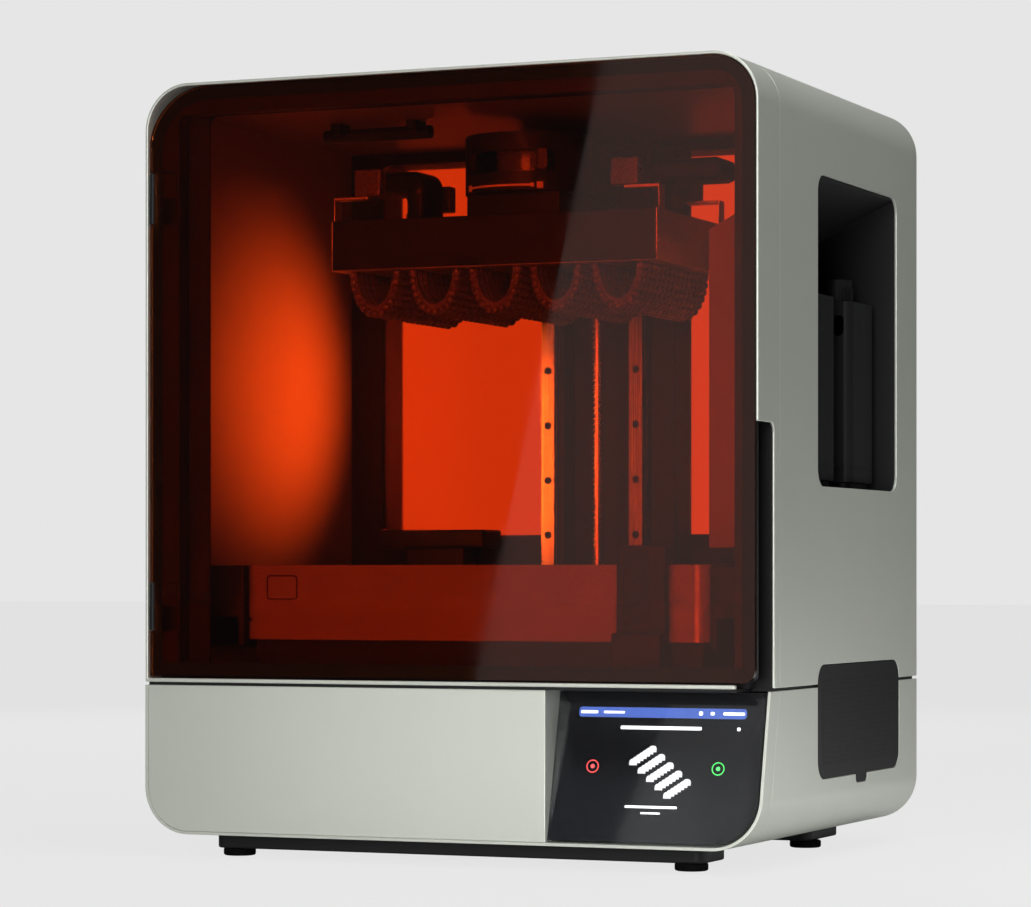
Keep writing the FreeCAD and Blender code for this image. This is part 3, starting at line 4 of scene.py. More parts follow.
import bmesh
import bpy
from bpy.props import FloatProperty, FloatVectorProperty, PointerProperty
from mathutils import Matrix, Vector

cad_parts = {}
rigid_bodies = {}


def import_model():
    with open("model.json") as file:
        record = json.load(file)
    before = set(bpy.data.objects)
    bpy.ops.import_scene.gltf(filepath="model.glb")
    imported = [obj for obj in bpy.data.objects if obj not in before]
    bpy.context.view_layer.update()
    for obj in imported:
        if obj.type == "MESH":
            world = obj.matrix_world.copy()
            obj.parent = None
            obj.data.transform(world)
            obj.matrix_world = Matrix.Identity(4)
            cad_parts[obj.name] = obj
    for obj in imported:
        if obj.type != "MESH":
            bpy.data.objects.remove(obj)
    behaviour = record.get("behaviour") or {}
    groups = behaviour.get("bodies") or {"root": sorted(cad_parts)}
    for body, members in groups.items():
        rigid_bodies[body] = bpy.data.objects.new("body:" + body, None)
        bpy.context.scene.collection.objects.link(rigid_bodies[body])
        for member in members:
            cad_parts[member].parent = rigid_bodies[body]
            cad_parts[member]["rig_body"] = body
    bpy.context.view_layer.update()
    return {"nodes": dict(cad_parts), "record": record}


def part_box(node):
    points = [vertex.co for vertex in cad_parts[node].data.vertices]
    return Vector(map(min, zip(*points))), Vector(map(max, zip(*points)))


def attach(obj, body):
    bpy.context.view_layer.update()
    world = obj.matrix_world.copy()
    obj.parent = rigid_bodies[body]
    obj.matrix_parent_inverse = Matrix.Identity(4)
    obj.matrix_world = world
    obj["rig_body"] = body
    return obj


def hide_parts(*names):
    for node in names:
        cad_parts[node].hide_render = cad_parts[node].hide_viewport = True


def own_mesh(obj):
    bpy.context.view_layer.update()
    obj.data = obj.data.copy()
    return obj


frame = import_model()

bl_info = {
    "name": "Resin printer dresser",
    "version": (1, 0, 0),
    "blender": (4, 5, 0),
    "location": "3D View > Sidebar > Printer",
    "description": "Builds the finishes and fine pieces of a resin printer around its solids",
    "category": "Object",
}

MM = 0.001

# Places taken from the solids
GLASS_LOW, GLASS_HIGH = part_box("door_glass")
PLATE_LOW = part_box("flex_sheet")[0]
TANK_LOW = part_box("tank_body")[0]
BATCH_LOW, BATCH_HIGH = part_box("printed_batch")
SCREEN_LOW, SCREEN_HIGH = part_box("screen_glass")
COVER_LOW, COVER_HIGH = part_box("filter_cover")

# The photograph's camera, in its own 1031 by 907 frame
PHOTO_WIDTH = 1031
PHOTO_FOCUS = 3541
PHOTO_HORIZON = 121.7
CAMERA_PLACE = (1.4439, -3.4464, 0.2871)
CAMERA_YAW = math.radians(23.164)
SENSOR = 36.0
# Keeps these finishes apart from the plain materials that come with the frame
FINISH_END = "_finish"

# Door: the border's corner radii run clockwise from the top left, at the hinge
BORDER_EDGE = 0.8 * MM
BORDER_RADII = (65 * MM, 43 * MM, 10 * MM, 0)
BORDER_THICK = 0.4 * MM
BORDER_INSIDE = 0.5 * MM
FRAME_BEHIND = 0.3 * MM

# Display, measured in the screen's own plane from its foot and its middle
MARK_FRONT = 3.3 * MM
MARK_THICK = 0.3 * MM
DISPLAY_SHIFT = 1 * MM
BANNER_FRONT = 3.6 * MM
BANNER_Z = 131
BANNER_SIZE = (174 * MM, 10 * MM)
# Middle, height above the foot, width and height of each white bar, in millimetres
BANNER_BARS = (
    (-76, BANNER_Z, 18, 3), (-50, BANNER_Z, 22, 2.4), (40, BANNER_Z, 4, 4), (52, BANNER_Z, 4, 3.4),
    (74, BANNER_Z, 22, 3))
LINE_BARS = ((0, 116, 84, 3.4), (80, 116, 3.4, 3.4), (-4, 38, 54, 2.4), (-4, 32, 20, 1.8))
RING_RADIUS = 6 * MM
RING_WIRE = 0.6 * MM
RING_Z = 77 * MM
RING_LEFT = -68 * MM
RING_RIGHT = 62 * MM
TILE_ROWS = 5
TILE_COLUMNS = 7
TILE_HALF = Vector((4 * MM, 0, 3.2 * MM))
TILE_FRONT = 3.5 * MM
TILE_ROUND = 3 * MM


class PrinterFinish(bpy.types.PropertyGroup):
    """Colours of the printer's finishes."""

    paint: FloatVectorProperty(
        name="Body paint", description="Satin paint of the outer shells", subtype="COLOR",
        size=3, min=0, max=1, default=(0.505, 0.525, 0.47))
    black: FloatVectorProperty(
        name="Black plastic", description="Moulded black of trims and fittings", subtype="COLOR",
        size=3, min=0, max=1, default=(0.008, 0.008, 0.009))
    tint: FloatVectorProperty(
        name="Window tint", description="Colour that the tinted panes let through", subtype="COLOR",
        size=3, min=0, max=1, default=(0.93, 0.20, 0.045))
    liner: FloatVectorProperty(
        name="Chamber liner", description="Grey of the chamber's inner walls", subtype="COLOR",
        size=3, min=0, max=1, default=(0.17, 0.17, 0.17))
    steel: FloatVectorProperty(
        name="Bright steel", description="Ground steel of rails and screw", subtype="COLOR",
        size=3, min=0, max=1, default=(0.62, 0.62, 0.62))
    alloy: FloatVectorProperty(
        name="Platform alloy", description="Machined metal of the platform", subtype="COLOR",
        size=3, min=0, max=1, default=(0.03, 0.03, 0.03))
    resin: FloatVectorProperty(
        name="Cured resin", description="Colour of the printed arches", subtype="COLOR",
        size=3, min=0, max=1, default=(0.085, 0.077, 0.07))
    tank: FloatVectorProperty(
        name="Tank plastic", description="Grey of the resin tank", subtype="COLOR",
        size=3, min=0, max=1, default=(0.16, 0.153, 0.146))
    tab: FloatVectorProperty(
        name="Sheet tabs", description="Plastic of the flexible sheet's tabs", subtype="COLOR",
        size=3, min=0, max=1, default=(0.07, 0.062, 0.055))
    banner: FloatVectorProperty(
        name="Screen banner", description="Blue bar at the top of the display", subtype="COLOR",
        size=3, min=0, max=1, default=(0.03, 0.09, 0.42))


class PrinterSizes(bpy.types.PropertyGroup):
    """Sizes of the fine pieces."""

    lean: FloatProperty(
        name="Screen lean", description="How far the screen leans back", subtype="ANGLE",
        default=math.atan(36 / 152))
    border: FloatProperty(
        name="Door border", description="Width of the black edge on the door glass", unit="LENGTH",
        default=13 * MM)
    thread: FloatProperty(
        name="Thread depth", description="Depth of the lead screw's thread", unit="LENGTH",
        default=1.7 * MM)
    pitch: FloatProperty(
        name="Thread pitch", description="Distance between turns of the lead screw", unit="LENGTH",
        default=6 * MM)
    mesh_pitch: FloatProperty(
        name="Mesh pitch", description="Distance between holes of the filter cover", unit="LENGTH",
        default=5 * MM)


def finish():
    """The finish colours of this scene."""
    return bpy.context.scene.printer_finish


def sizes():
    """The fine sizes of this scene."""
    return bpy.context.scene.printer_sizes


# Shader node groups


def new_group(name, inputs, outputs):
    """An empty shader group with float or colour sockets."""
    group = bpy.data.node_groups.new(name, "ShaderNodeTree")
    for label, kind, default in inputs:
        socket = group.interface.new_socket(label, in_out="INPUT", socket_type=kind)
        socket.default_value = default
    for label, kind in outputs:
        group.interface.new_socket(label, in_out="OUTPUT", socket_type=kind)
    source = group.nodes.new("NodeGroupInput")
    target = group.nodes.new("NodeGroupOutput")
    return group, source, target


def grain_group():
    """Fine even grain: a roughness value between two limits and a height."""
    found = bpy.data.node_groups.get("fine_grain")
    if found:
        return found
    inputs = (("Scale", "NodeSocketFloat", 900.0), ("Low", "NodeSocketFloat", 0.3),
              ("High", "NodeSocketFloat", 0.5))
    outputs = (("Value", "NodeSocketFloat"), ("Height", "NodeSocketFloat"))
    group, source, target = new_group("fine_grain", inputs, outputs)
    place = group.nodes.new("ShaderNodeTexCoord")
    noise = group.nodes.new("ShaderNodeTexNoise")
    noise.inputs["Detail"].default_value = 3.0
    spread = group.nodes.new("ShaderNodeMapRange")
    spread.inputs["From Min"].default_value = 0.3
    spread.inputs["From Max"].default_value = 0.7
    link = group.links.new
    link(place.outputs["Object"], noise.inputs["Vector"])
    link(source.outputs["Scale"], noise.inputs["Scale"])
    link(noise.outputs["Fac"], spread.inputs["Value"])
    link(source.outputs["Low"], spread.inputs["To Min"])
    link(source.outputs["High"], spread.inputs["To Max"])
    link(spread.outputs["Result"], target.inputs["Value"])
    link(noise.outputs["Fac"], target.inputs["Height"])
    return group


def shade_group():
    """Slow drift between two near colours, as handling and mould flow leave it."""
    found = bpy.data.node_groups.get("slow_shade")
    if found:
        return found
    inputs = (("Scale", "NodeSocketFloat", 6.0), ("Light", "NodeSocketColor", (1, 1, 1, 1)),
              ("Dark", "NodeSocketColor", (0, 0, 0, 1)))
    group, source, target = new_group("slow_shade", inputs, (("Color", "NodeSocketColor"),))
    place = group.nodes.new("ShaderNodeTexCoord")
    noise = group.nodes.new("ShaderNodeTexNoise")
    noise.inputs["Detail"].default_value = 4.0
    mix = group.nodes.new("ShaderNodeMix")
    mix.data_type = "RGBA"
    # The colour sockets of this node share their names with others, so they go by number
    link = group.links.new
    link(place.outputs["Object"], noise.inputs["Vector"])
    link(source.outputs["Scale"], noise.inputs["Scale"])
    link(noise.outputs["Fac"], mix.inputs["Factor"])
    link(source.outputs["Dark"], mix.inputs[6])
    link(source.outputs["Light"], mix.inputs[7])
    link(mix.outputs[2], target.inputs["Color"])
    return group


def brush_group():
    """Grinding lines along one axis: a roughness value and a height."""
    found = bpy.data.node_groups.get("ground_lines")
    if found:
        return found
    inputs = (("Across", "NodeSocketVector", (900.0, 900.0, 8.0)), ("Low", "NodeSocketFloat", 0.2),
              ("High", "NodeSocketFloat", 0.4))
    outputs = (("Value", "NodeSocketFloat"), ("Height", "NodeSocketFloat"))
    group, source, target = new_group("ground_lines", inputs, outputs)
    place = group.nodes.new("ShaderNodeTexCoord")
    stretch = group.nodes.new("ShaderNodeVectorMath")
    stretch.operation = "MULTIPLY"
    noise = group.nodes.new("ShaderNodeTexNoise")
    noise.inputs["Scale"].default_value = 1.0
    noise.inputs["Detail"].default_value = 2.0
    spread = group.nodes.new("ShaderNodeMapRange")
    spread.inputs["From Min"].default_value = 0.3
    spread.inputs["From Max"].default_value = 0.7
    link = group.links.new
    link(place.outputs["Object"], stretch.inputs[0])
    link(source.outputs["Across"], stretch.inputs[1])
    link(stretch.outputs["Vector"], noise.inputs["Vector"])
    link(noise.outputs["Fac"], spread.inputs["Value"])
    link(source.outputs["Low"], spread.inputs["To Min"])
    link(source.outputs["High"], spread.inputs["To Max"])
    link(spread.outputs["Result"], target.inputs["Value"])
    link(noise.outputs["Fac"], target.inputs["Height"])
    return group


# Materials


def shader(name):
    """A new node material, its tree and its main shader."""
    material = bpy.data.materials.new(name + FINISH_END)
    material.use_nodes = True
    return material, material.node_tree, material.node_tree.nodes["Principled BSDF"]


def lighter(color, by):
    """A colour scaled in brightness, with alpha."""
    return tuple(min(1.0, part * by) for part in color) + (1.0,)


def use_shade(tree, socket, color, drift, scale):
    """Feed a colour socket with a slow drift about a colour."""
    shade = tree.nodes.new("ShaderNodeGroup")
    shade.node_tree = shade_group()
    shade.inputs["Scale"].default_value = scale
    shade.inputs["Light"].default_value = lighter(color, 1 + drift)
    shade.inputs["Dark"].default_value = lighter(color, 1 - drift)
    tree.links.new(shade.outputs["Color"], socket)


def use_bump(tree, main, source, strength, depth):
    """Feed the shader's normal from a height."""
    bump = tree.nodes.new("ShaderNodeBump")
    bump.inputs["Strength"].default_value = strength
    bump.inputs["Distance"].default_value = depth
    tree.links.new(source, bump.inputs["Height"])
    tree.links.new(bump.outputs["Normal"], main.inputs["Normal"])


def grained(name, color, rough, metallic=0.0, scale=900.0, depth=0.05 * MM, drift=0.08, gloss=0.5):
    """Moulded or painted surface with fine grain."""
    found = bpy.data.materials.get(name + FINISH_END)
    if found:
        return found
    material, tree, main = shader(name)
    use_shade(tree, main.inputs["Base Color"], color, drift, 9.0)
    grain = tree.nodes.new("ShaderNodeGroup")
    grain.node_tree = grain_group()
    grain.inputs["Scale"].default_value = scale
    grain.inputs["Low"].default_value = rough[0]
    grain.inputs["High"].default_value = rough[1]
    tree.links.new(grain.outputs["Value"], main.inputs["Roughness"])
    use_bump(tree, main, grain.outputs["Height"], 0.35, depth)
    main.inputs["Metallic"].default_value = metallic
    main.inputs["Specular IOR Level"].default_value = gloss
    return material


def ground(name, color, rough, across, depth=0.02 * MM):
    """Ground or brushed metal with lines along one axis."""
    found = bpy.data.materials.get(name + FINISH_END)
    if found:
        return found
    material, tree, main = shader(name)
    use_shade(tree, main.inputs["Base Color"], color, 0.06, 14.0)
    lines = tree.nodes.new("ShaderNodeGroup")
    lines.node_tree = brush_group()
    lines.inputs["Across"].default_value = across
    lines.inputs["Low"].default_value = rough[0]
    lines.inputs["High"].default_value = rough[1]
    tree.links.new(lines.outputs["Value"], main.inputs["Roughness"])
    use_bump(tree, main, lines.outputs["Height"], 0.25, depth)
    main.inputs["Metallic"].default_value = 1.0
    return material


def pane(name, color, passing, rough=(0.01, 0.05)):
    """Clear or tinted pane; passing is what it lets through of a lamp's light at each face."""
    found = bpy.data.materials.get(name + FINISH_END)
    if found:
        return found
    material, tree, main = shader(name)
    main.inputs["Base Color"].default_value = (*color, 1)
    main.inputs["Transmission Weight"].default_value = 1.0
    main.inputs["IOR"].default_value = 1.46
    smudge = tree.nodes.new("ShaderNodeGroup")
    smudge.node_tree = grain_group()
    smudge.inputs["Scale"].default_value = 12.0
    smudge.inputs["Low"].default_value = rough[0]
    smudge.inputs["High"].default_value = rough[1]
    tree.links.new(smudge.outputs["Value"], main.inputs["Roughness"])
    through = tree.nodes.new("ShaderNodeBsdfTransparent")
    through.inputs["Color"].default_value = (*passing, 1)
    path = tree.nodes.new("ShaderNodeLightPath")
    mix = tree.nodes.new("ShaderNodeMixShader")
    out = tree.nodes["Material Output"]
    tree.links.new(path.outputs["Is Shadow Ray"], mix.inputs["Fac"])
    tree.links.new(main.outputs["BSDF"], mix.inputs[1])
    tree.links.new(through.outputs["BSDF"], mix.inputs[2])
    tree.links.new(mix.outputs["Shader"], out.inputs["Surface"])
    return material


def lit(name, color, strength):
    """Lit part of the display."""
    found = bpy.data.materials.get(name + FINISH_END)
    if found:
        return found
    material, tree, main = shader(name)
    use_shade(tree, main.inputs["Emission Color"], color, 0.05, 300.0)
    use_shade(tree, main.inputs["Base Color"], color, 0.05, 300.0)
    main.inputs["Emission Strength"].default_value = strength
    return material


def paint():
    """Satin silver paint."""
    return grained("body_paint", finish().paint, (0.32, 0.44), metallic=0.45, scale=1500.0,
                   depth=0.06 * MM, drift=0.03)


def black():
    """Moulded black plastic."""
    return grained("black_plastic", finish().black, (0.42, 0.55), scale=1200.0, depth=0.02 * MM, gloss=0.16)


def gloss_black():
    """Polished black."""
    return grained("gloss_black", finish().black, (0.06, 0.12), scale=40.0, depth=0.005 * MM, gloss=0.35)


def rubber():
    """Black rubber."""
    return grained("black_rubber", (0.003, 0.003, 0.003), (0.7, 0.85), scale=600.0, gloss=0.04)


def liner():
    """Grey chamber lining."""
    return grained("chamber_liner", finish().liner, (0.3, 0.42), metallic=0.2, scale=700.0)


def rail_steel():
    """Ground steel, lines upright."""
    return ground("rail_steel", finish().steel, (0.16, 0.3), (900.0, 900.0, 6.0))


def alloy():
    """Dark machined alloy, lines across."""
    return ground("platform_alloy", finish().alloy, (0.3, 0.45), (8.0, 700.0, 700.0))


def spring_steel():
    """Spring steel of the flexible sheet."""
    return ground("spring_steel", (0.7, 0.68, 0.66), (0.25, 0.4), (10.0, 600.0, 600.0))


def cured_resin():
    """Cured resin."""
    return grained("cured_resin", finish().resin, (0.3, 0.5), scale=500.0, depth=0.12 * MM, drift=0.12)


def tank_plastic():
    """Grey tank plastic."""
    return grained("tank_plastic", finish().tank, (0.22, 0.34), scale=800.0)


def tab_plastic():
    """Plastic of the tabs and the lever."""
    return grained("tab_plastic", finish().tab, (0.2, 0.35), scale=600.0)


def board_green():
    """Green circuit board."""
    return grained("board_green", (0.01, 0.07, 0.03), (0.3, 0.5), scale=300.0)


def white_plastic():
    """White plastic."""
    return grained("lamp_white", (0.6, 0.6, 0.58), (0.3, 0.45), scale=500.0)


def tinted():
    """Amber pane; it lets through far less of a lamp's light than of the view through it, which paints
    shade into the chamber.
    """
    return pane("tinted_pane", finish().tint, (0.34, 0.11, 0.05))


def clear():
    """Clear pane."""
    return pane("clear_pane", (0.9, 0.92, 0.94), (0.95, 0.96, 0.97))


# Modelling helpers


def deselect():
    """Leave nothing selected, in object mode."""
    if bpy.context.mode != "OBJECT":
        bpy.ops.object.mode_set(mode="OBJECT")
    bpy.ops.object.select_all(action="DESELECT")


def activate(piece):
    """Make one piece the only selected and active one."""
    deselect()
    piece.select_set(True)
    bpy.context.view_layer.objects.active = piece


def settle(piece):
    """Put the object's place, turn and scale into its mesh."""
    activate(piece)
    bpy.ops.object.transform_apply(location=True, rotation=True, scale=True)
    return piece


def block(name, low, high):
    """A cube stretched between two corners, as a start."""
    deselect()
    low, high = Vector(low), Vector(high)
    bpy.ops.mesh.primitive_cube_add(size=1, location=(low + high) / 2)
    piece = bpy.context.object
    piece.name = name
    piece.scale = high - low
    return settle(piece)


def drum(name, start, axis, radius, length, sides=32):
    """A cylinder from a start point along X, Y or Z, as a start."""
    deselect()
    turn = {"X": (0, math.pi / 2, 0), "Y": (-math.pi / 2, 0, 0), "Z": (0, 0, 0)}[axis]
    step = {"X": Vector((1, 0, 0)), "Y": Vector((0, 1, 0)), "Z": Vector((0, 0, 1))}[axis]
    middle = Vector(start) + step * length / 2
    bpy.ops.mesh.primitive_cylinder_add(vertices=sides, radius=radius, depth=length,
                                        location=middle, rotation=turn)
    piece = bpy.context.object
    piece.name = name
    return settle(piece)


def edit(piece):
    """Enter edit mode on one piece and return its live mesh."""
    activate(piece)
    bpy.ops.object.mode_set(mode="EDIT")
    return bmesh.from_edit_mesh(piece.data)


def pick(piece, kind, test):
    """Select the faces, edges or vertices that pass a test, in edit mode."""
    mesh = bmesh.from_edit_mesh(piece.data)
    bpy.ops.mesh.select_mode(type=kind)
    bpy.ops.mesh.select_all(action="DESELECT")
    items = {"FACE": mesh.faces, "EDGE": mesh.edges, "VERT": mesh.verts}[kind]
    for item in items:
        item.select_set(bool(test(item)))
    mesh.select_flush_mode()
    bmesh.update_edit_mesh(piece.data)


def edge_along(edge, axis):
    """Whether an edge runs along one axis."""
    run = edge.verts[1].co - edge.verts[0].co
    return run.length > 0 and abs(run[axis]) / run.length > 0.999


def round_edges(piece, test, width, segments=3):
    """Bevel the edges that pass a test."""
    edit(piece)
    pick(piece, "EDGE", test)
    bpy.ops.mesh.bevel(offset=width, segments=segments, affect="EDGES")
    bpy.ops.object.mode_set(mode="OBJECT")
    return piece


def apply_modifier(piece, kind, **settings):
    """Add one modifier with its settings and apply it."""
    activate(piece)
    modifier = piece.modifiers.new(kind.lower(), kind)
    for key, value in settings.items():
        setattr(modifier, key, value)
    bpy.ops.object.modifier_apply(modifier=modifier.name)
    return piece


def soften(piece, width, segments=2, angle=32):
    """Round every sharp edge by a little."""
    return apply_modifier(piece, "BEVEL", width=width, segments=segments, limit_method="ANGLE",
                          angle_limit=math.radians(angle), use_clamp_overlap=True)


def smooth(piece, angle=34):
    """Shade smooth up to an angle in degrees."""
    activate(piece)
    bpy.ops.object.shade_smooth_by_angle(angle=math.radians(angle))
    return piece


def dress(piece, material, body, slot, *nodes):
    """Give a finished piece its material and its body, and hide the nodes that it stands for; the slot
    argument is not used.
    """
    settle(piece)
    smooth(piece)
    apply_modifier(piece, "WEIGHTED_NORMAL", weight=100, keep_sharp=True)
    piece.data.materials.clear()
    piece.data.materials.append(material)
    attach(piece, body)
    if nodes:
        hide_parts(*nodes)
    return piece


def fused(name, pieces):
    """Join pieces into one object."""
    deselect()
    for piece in pieces:
        piece.select_set(True)
    bpy.context.view_layer.objects.active = pieces[0]
    if len(pieces) > 1:
        bpy.ops.object.join()
    pieces[0].name = name
    return pieces[0]


def twin(piece, name, shift):
    """A copy with its own mesh, moved by a step."""
    copy = piece.copy()
    copy.data = piece.data.copy()
    copy.name = name
    bpy.context.scene.collection.objects.link(copy)
    copy.location = shift
    return settle(copy)


def body_of(node):
    """The body that a node rides on."""
    return frame["nodes"][node]["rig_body"]


def slot_of(node):
    """The material slot that the record gives a node."""
    for entry in frame["record"]["subparts"]:
        if entry["node"] == node:
            return entry["material_slot"]
    raise ValueError("no slot for " + node)


def rounded_copy(node, width):
    """A merged copy of a solid with its sharp edges rounded."""
    source = frame["nodes"][node]
    piece = bpy.data.objects.new(node + "_finished", source.data.copy())
    bpy.context.scene.collection.objects.link(piece)
    edit(piece)
    bpy.ops.mesh.select_all(action="SELECT")
    bpy.ops.mesh.remove_doubles(threshold=0.002 * MM)
    bpy.ops.mesh.dissolve_limited(angle_limit=math.radians(1))
    bpy.ops.object.mode_set(mode="OBJECT")
    return soften(piece, width)


def refine(material, *nodes, width=0.8 * MM):
    """Replace solids by copies with rounded edges and a finish."""
    for node in nodes:
        dress(rounded_copy(node, width), material, body_of(node), slot_of(node), node)


def coat(material, *nodes):
    """Give solids a finish as they are."""
    for node in nodes:
        mesh = frame["nodes"][node].data
        mesh.materials.clear()
        mesh.materials.append(material)


class PRINTER_OT_shells(bpy.types.Operator):
    """Finish the outer shells, the base panel, the skids and the feet"""

    bl_idname = "printer.shells"
    bl_label = "Shells"

    def execute(self, context):
        refine(paint(), "lower_shell", "upper_shell", "lower_bezel", width=0.7 * MM)
        refine(paint(), "front_frame", "front_panel", width=1.1 * MM)
        refine(black(), "skid_bars", width=2 * MM)
        refine(rubber(), "feet", width=2 * MM)
        coat(black(), "deck_plate", "light_engine_case", "carbon_filter")
        coat(board_green(), "led_board", "mainboard")
        coat(alloy(), "power_supply")
        coat(rail_steel(), "z_motor")
        coat(clear(), "lens_plate")
        return {"FINISHED"}


def flat_ring(name, low, high, y, radii, band, depth):
    """A rounded rectangular band facing the front; the radii run clockwise from the top left corner."""
    deselect()
    middle = (Vector(low) + Vector(high)) / 2
    bpy.ops.mesh.primitive_plane_add(size=1, location=(middle.x, y, middle.z), rotation=(math.pi / 2, 0, 0))
    ring = bpy.context.object
    ring.name = name
    ring.scale = (high[0] - low[0], high[2] - low[2], 1)
    settle(ring)
    edit(ring)
    corners = ((low[0], high[2]), (high[0], high[2]), (high[0], low[2]), (low[0], low[2]))
    for (x, z), radius in zip(corners, radii):
        if radius > 0:
            pick(ring, "VERT", lambda v: abs(v.co.x - x) + abs(v.co.z - z) < 0.01 * MM)
            bpy.ops.mesh.bevel(offset=radius, segments=10, affect="VERTICES")
    bpy.ops.mesh.select_mode(type="FACE")
    bpy.ops.mesh.select_all(action="SELECT")
    bpy.ops.mesh.inset(thickness=band)
    bpy.ops.mesh.delete(type="FACE")
    bpy.ops.object.mode_set(mode="OBJECT")
    return apply_modifier(ring, "SOLIDIFY", thickness=depth, offset=0)


class PRINTER_OT_door(bpy.types.Operator):
    """Finish the tinted door with its black border, frame, gasket and hinges"""

    bl_idname = "printer.door"
    bl_label = "Door"

    def execute(self, context):
        coat(tinted(), "door_glass")
        inward = Vector((BORDER_EDGE, 0, BORDER_EDGE))
        border = flat_ring("door_border", GLASS_LOW + inward, GLASS_HIGH - inward,
                           GLASS_HIGH.y - BORDER_INSIDE, BORDER_RADII, sizes().border, BORDER_THICK)
        dress(border, gloss_black(), "door", "black_plastic")
        door_frame = rounded_copy("door_frame", 0.5 * MM)
        door_frame.location.y = FRAME_BEHIND
        dress(settle(door_frame), black(), body_of("door_frame"), slot_of("door_frame"), "door_frame")
        refine(black(), "door_jamb", width=0.5 * MM)
        refine(rubber(), "door_gasket", width=1.2 * MM)
        refine(black(), "hinge_leaves", width=0.3 * MM)
        return {"FINISHED"}


class PRINTER_OT_chamber(bpy.types.Operator):
    """Finish the chamber's walls, rear window and light"""

    bl_idname = "printer.chamber"
    bl_label = "Chamber"

    def execute(self, context):
        coat(liner(), "chamber_walls")
        refine(black(), "chamber_back", width=1.5 * MM)
        coat(tinted(), "rear_window")
        refine(black(), "chamber_light", width=1.0 * MM)
        refine(black(), "level_sensor", width=4 * MM)
        return {"FINISHED"}


def on_screen(piece):
    """Lean a piece made upright at the screen's foot back into the screen's plane."""
    piece.rotation_euler.x = -sizes().lean
    piece.location = (0, SCREEN_LOW.y, SCREEN_LOW.z)
    return settle(piece)


def screen_bar(name, x, z, width, height, material, front=MARK_FRONT):
    """A lit bar with rounded ends on the display."""
    half = Vector((width / 2, 0, height / 2))
    bar = block(name, Vector((x, front, z)) - half, Vector((x, front + MARK_THICK, z)) + half)
    round_edges(bar, lambda e: edge_along(e, 1), min(width, height) * 0.3)
    return dress(on_screen(bar), material, "chassis", "display")


def screen_ring(name, x, z, radius, material):
    """A lit ring with a dot in it on the display."""
    deselect()
    bpy.ops.mesh.primitive_torus_add(major_radius=radius, minor_radius=RING_WIRE, major_segments=32,
                                     minor_segments=6, location=(x, BANNER_FRONT, z),
                                     rotation=(math.pi / 2, 0, 0))
    ring = settle(bpy.context.object)
    dot = drum(name + "_dot", (x, 3.4 * MM, z), "Y", radius * 0.36, 0.4 * MM, 16)
    return dress(on_screen(fused(name, [ring, dot])), material, "chassis", "display")


class PRINTER_OT_screen(bpy.types.Operator):
    """Finish the tilted touch screen with a plain generic display picture"""

    bl_idname = "printer.screen"
    bl_label = "Screen"

    def execute(self, context):
        coat(clear(), "screen_glass")
        coat(gloss_black(), "screen_bracket", "display_panel")
        white = lit("lit_white", (0.8, 0.8, 0.8), 0.9)
        middle = (SCREEN_LOW.x + SCREEN_HIGH.x) / 2 + DISPLAY_SHIFT
        blue = lit("lit_banner", finish().banner, 0.2)
        screen_bar("screen_banner", middle, BANNER_Z * MM, *BANNER_SIZE, blue, BANNER_FRONT)
        for index, (x, z, width, height) in enumerate(BANNER_BARS + LINE_BARS):
            screen_bar(f"screen_mark_{index}", middle + x * MM, z * MM, width * MM, height * MM, white)
        red = lit("lit_red", (0.7, 0.05, 0.05), 0.9)
        green = lit("lit_green", (0.05, 0.55, 0.1), 0.9)
        screen_ring("screen_ring_left", middle + RING_LEFT, RING_Z, RING_RADIUS, red)
        screen_ring("screen_ring_right", middle + RING_RIGHT, RING_Z, RING_RADIUS, green)
        self.picture(middle)
        return {"FINISHED"}

    def picture(self, middle):
        """A plain picture of slanting rows of overlapping tiles."""
        tiles = []
        for row in range(TILE_ROWS):
            for column in range(TILE_COLUMNS):
                x = middle + (-26 + row * 9.5 + column * 3.2) * MM
                z = (94 - row * 8 + column * 2.2 - 12) * MM
                front = Vector((x, TILE_FRONT, z))
                back = Vector((x, TILE_FRONT + MARK_THICK, z))
                tile = block("tile", front - TILE_HALF, back + TILE_HALF)
                round_edges(tile, lambda e: edge_along(e, 1) and e.verts[0].co.z > z, TILE_ROUND)
                tiles.append(tile)
        leaned = on_screen(fused("screen_picture", tiles))
        dress(leaned, lit("lit_picture", (0.5, 0.5, 0.5), 0.9), "chassis", "display")


def bead_places(half, depth, count):
    """Points spread evenly along a half ellipse that hangs down."""
    steps = 400
    turns = [math.pi * step / steps for step in range(steps + 1)]
    points = [Vector((-half * math.cos(turn), 0, -depth * math.sin(turn))) for turn in turns]
    lengths = [0.0]
    for first, second in zip(points, points[1:]):
        lengths.append(lengths[-1] + (second - first).length)
    places = []
    for bead in range(count):
        wanted = lengths[-1] * (bead + 0.5) / count
        places.append(next(point for point, length in zip(points, lengths) if length >= wanted))
    return places


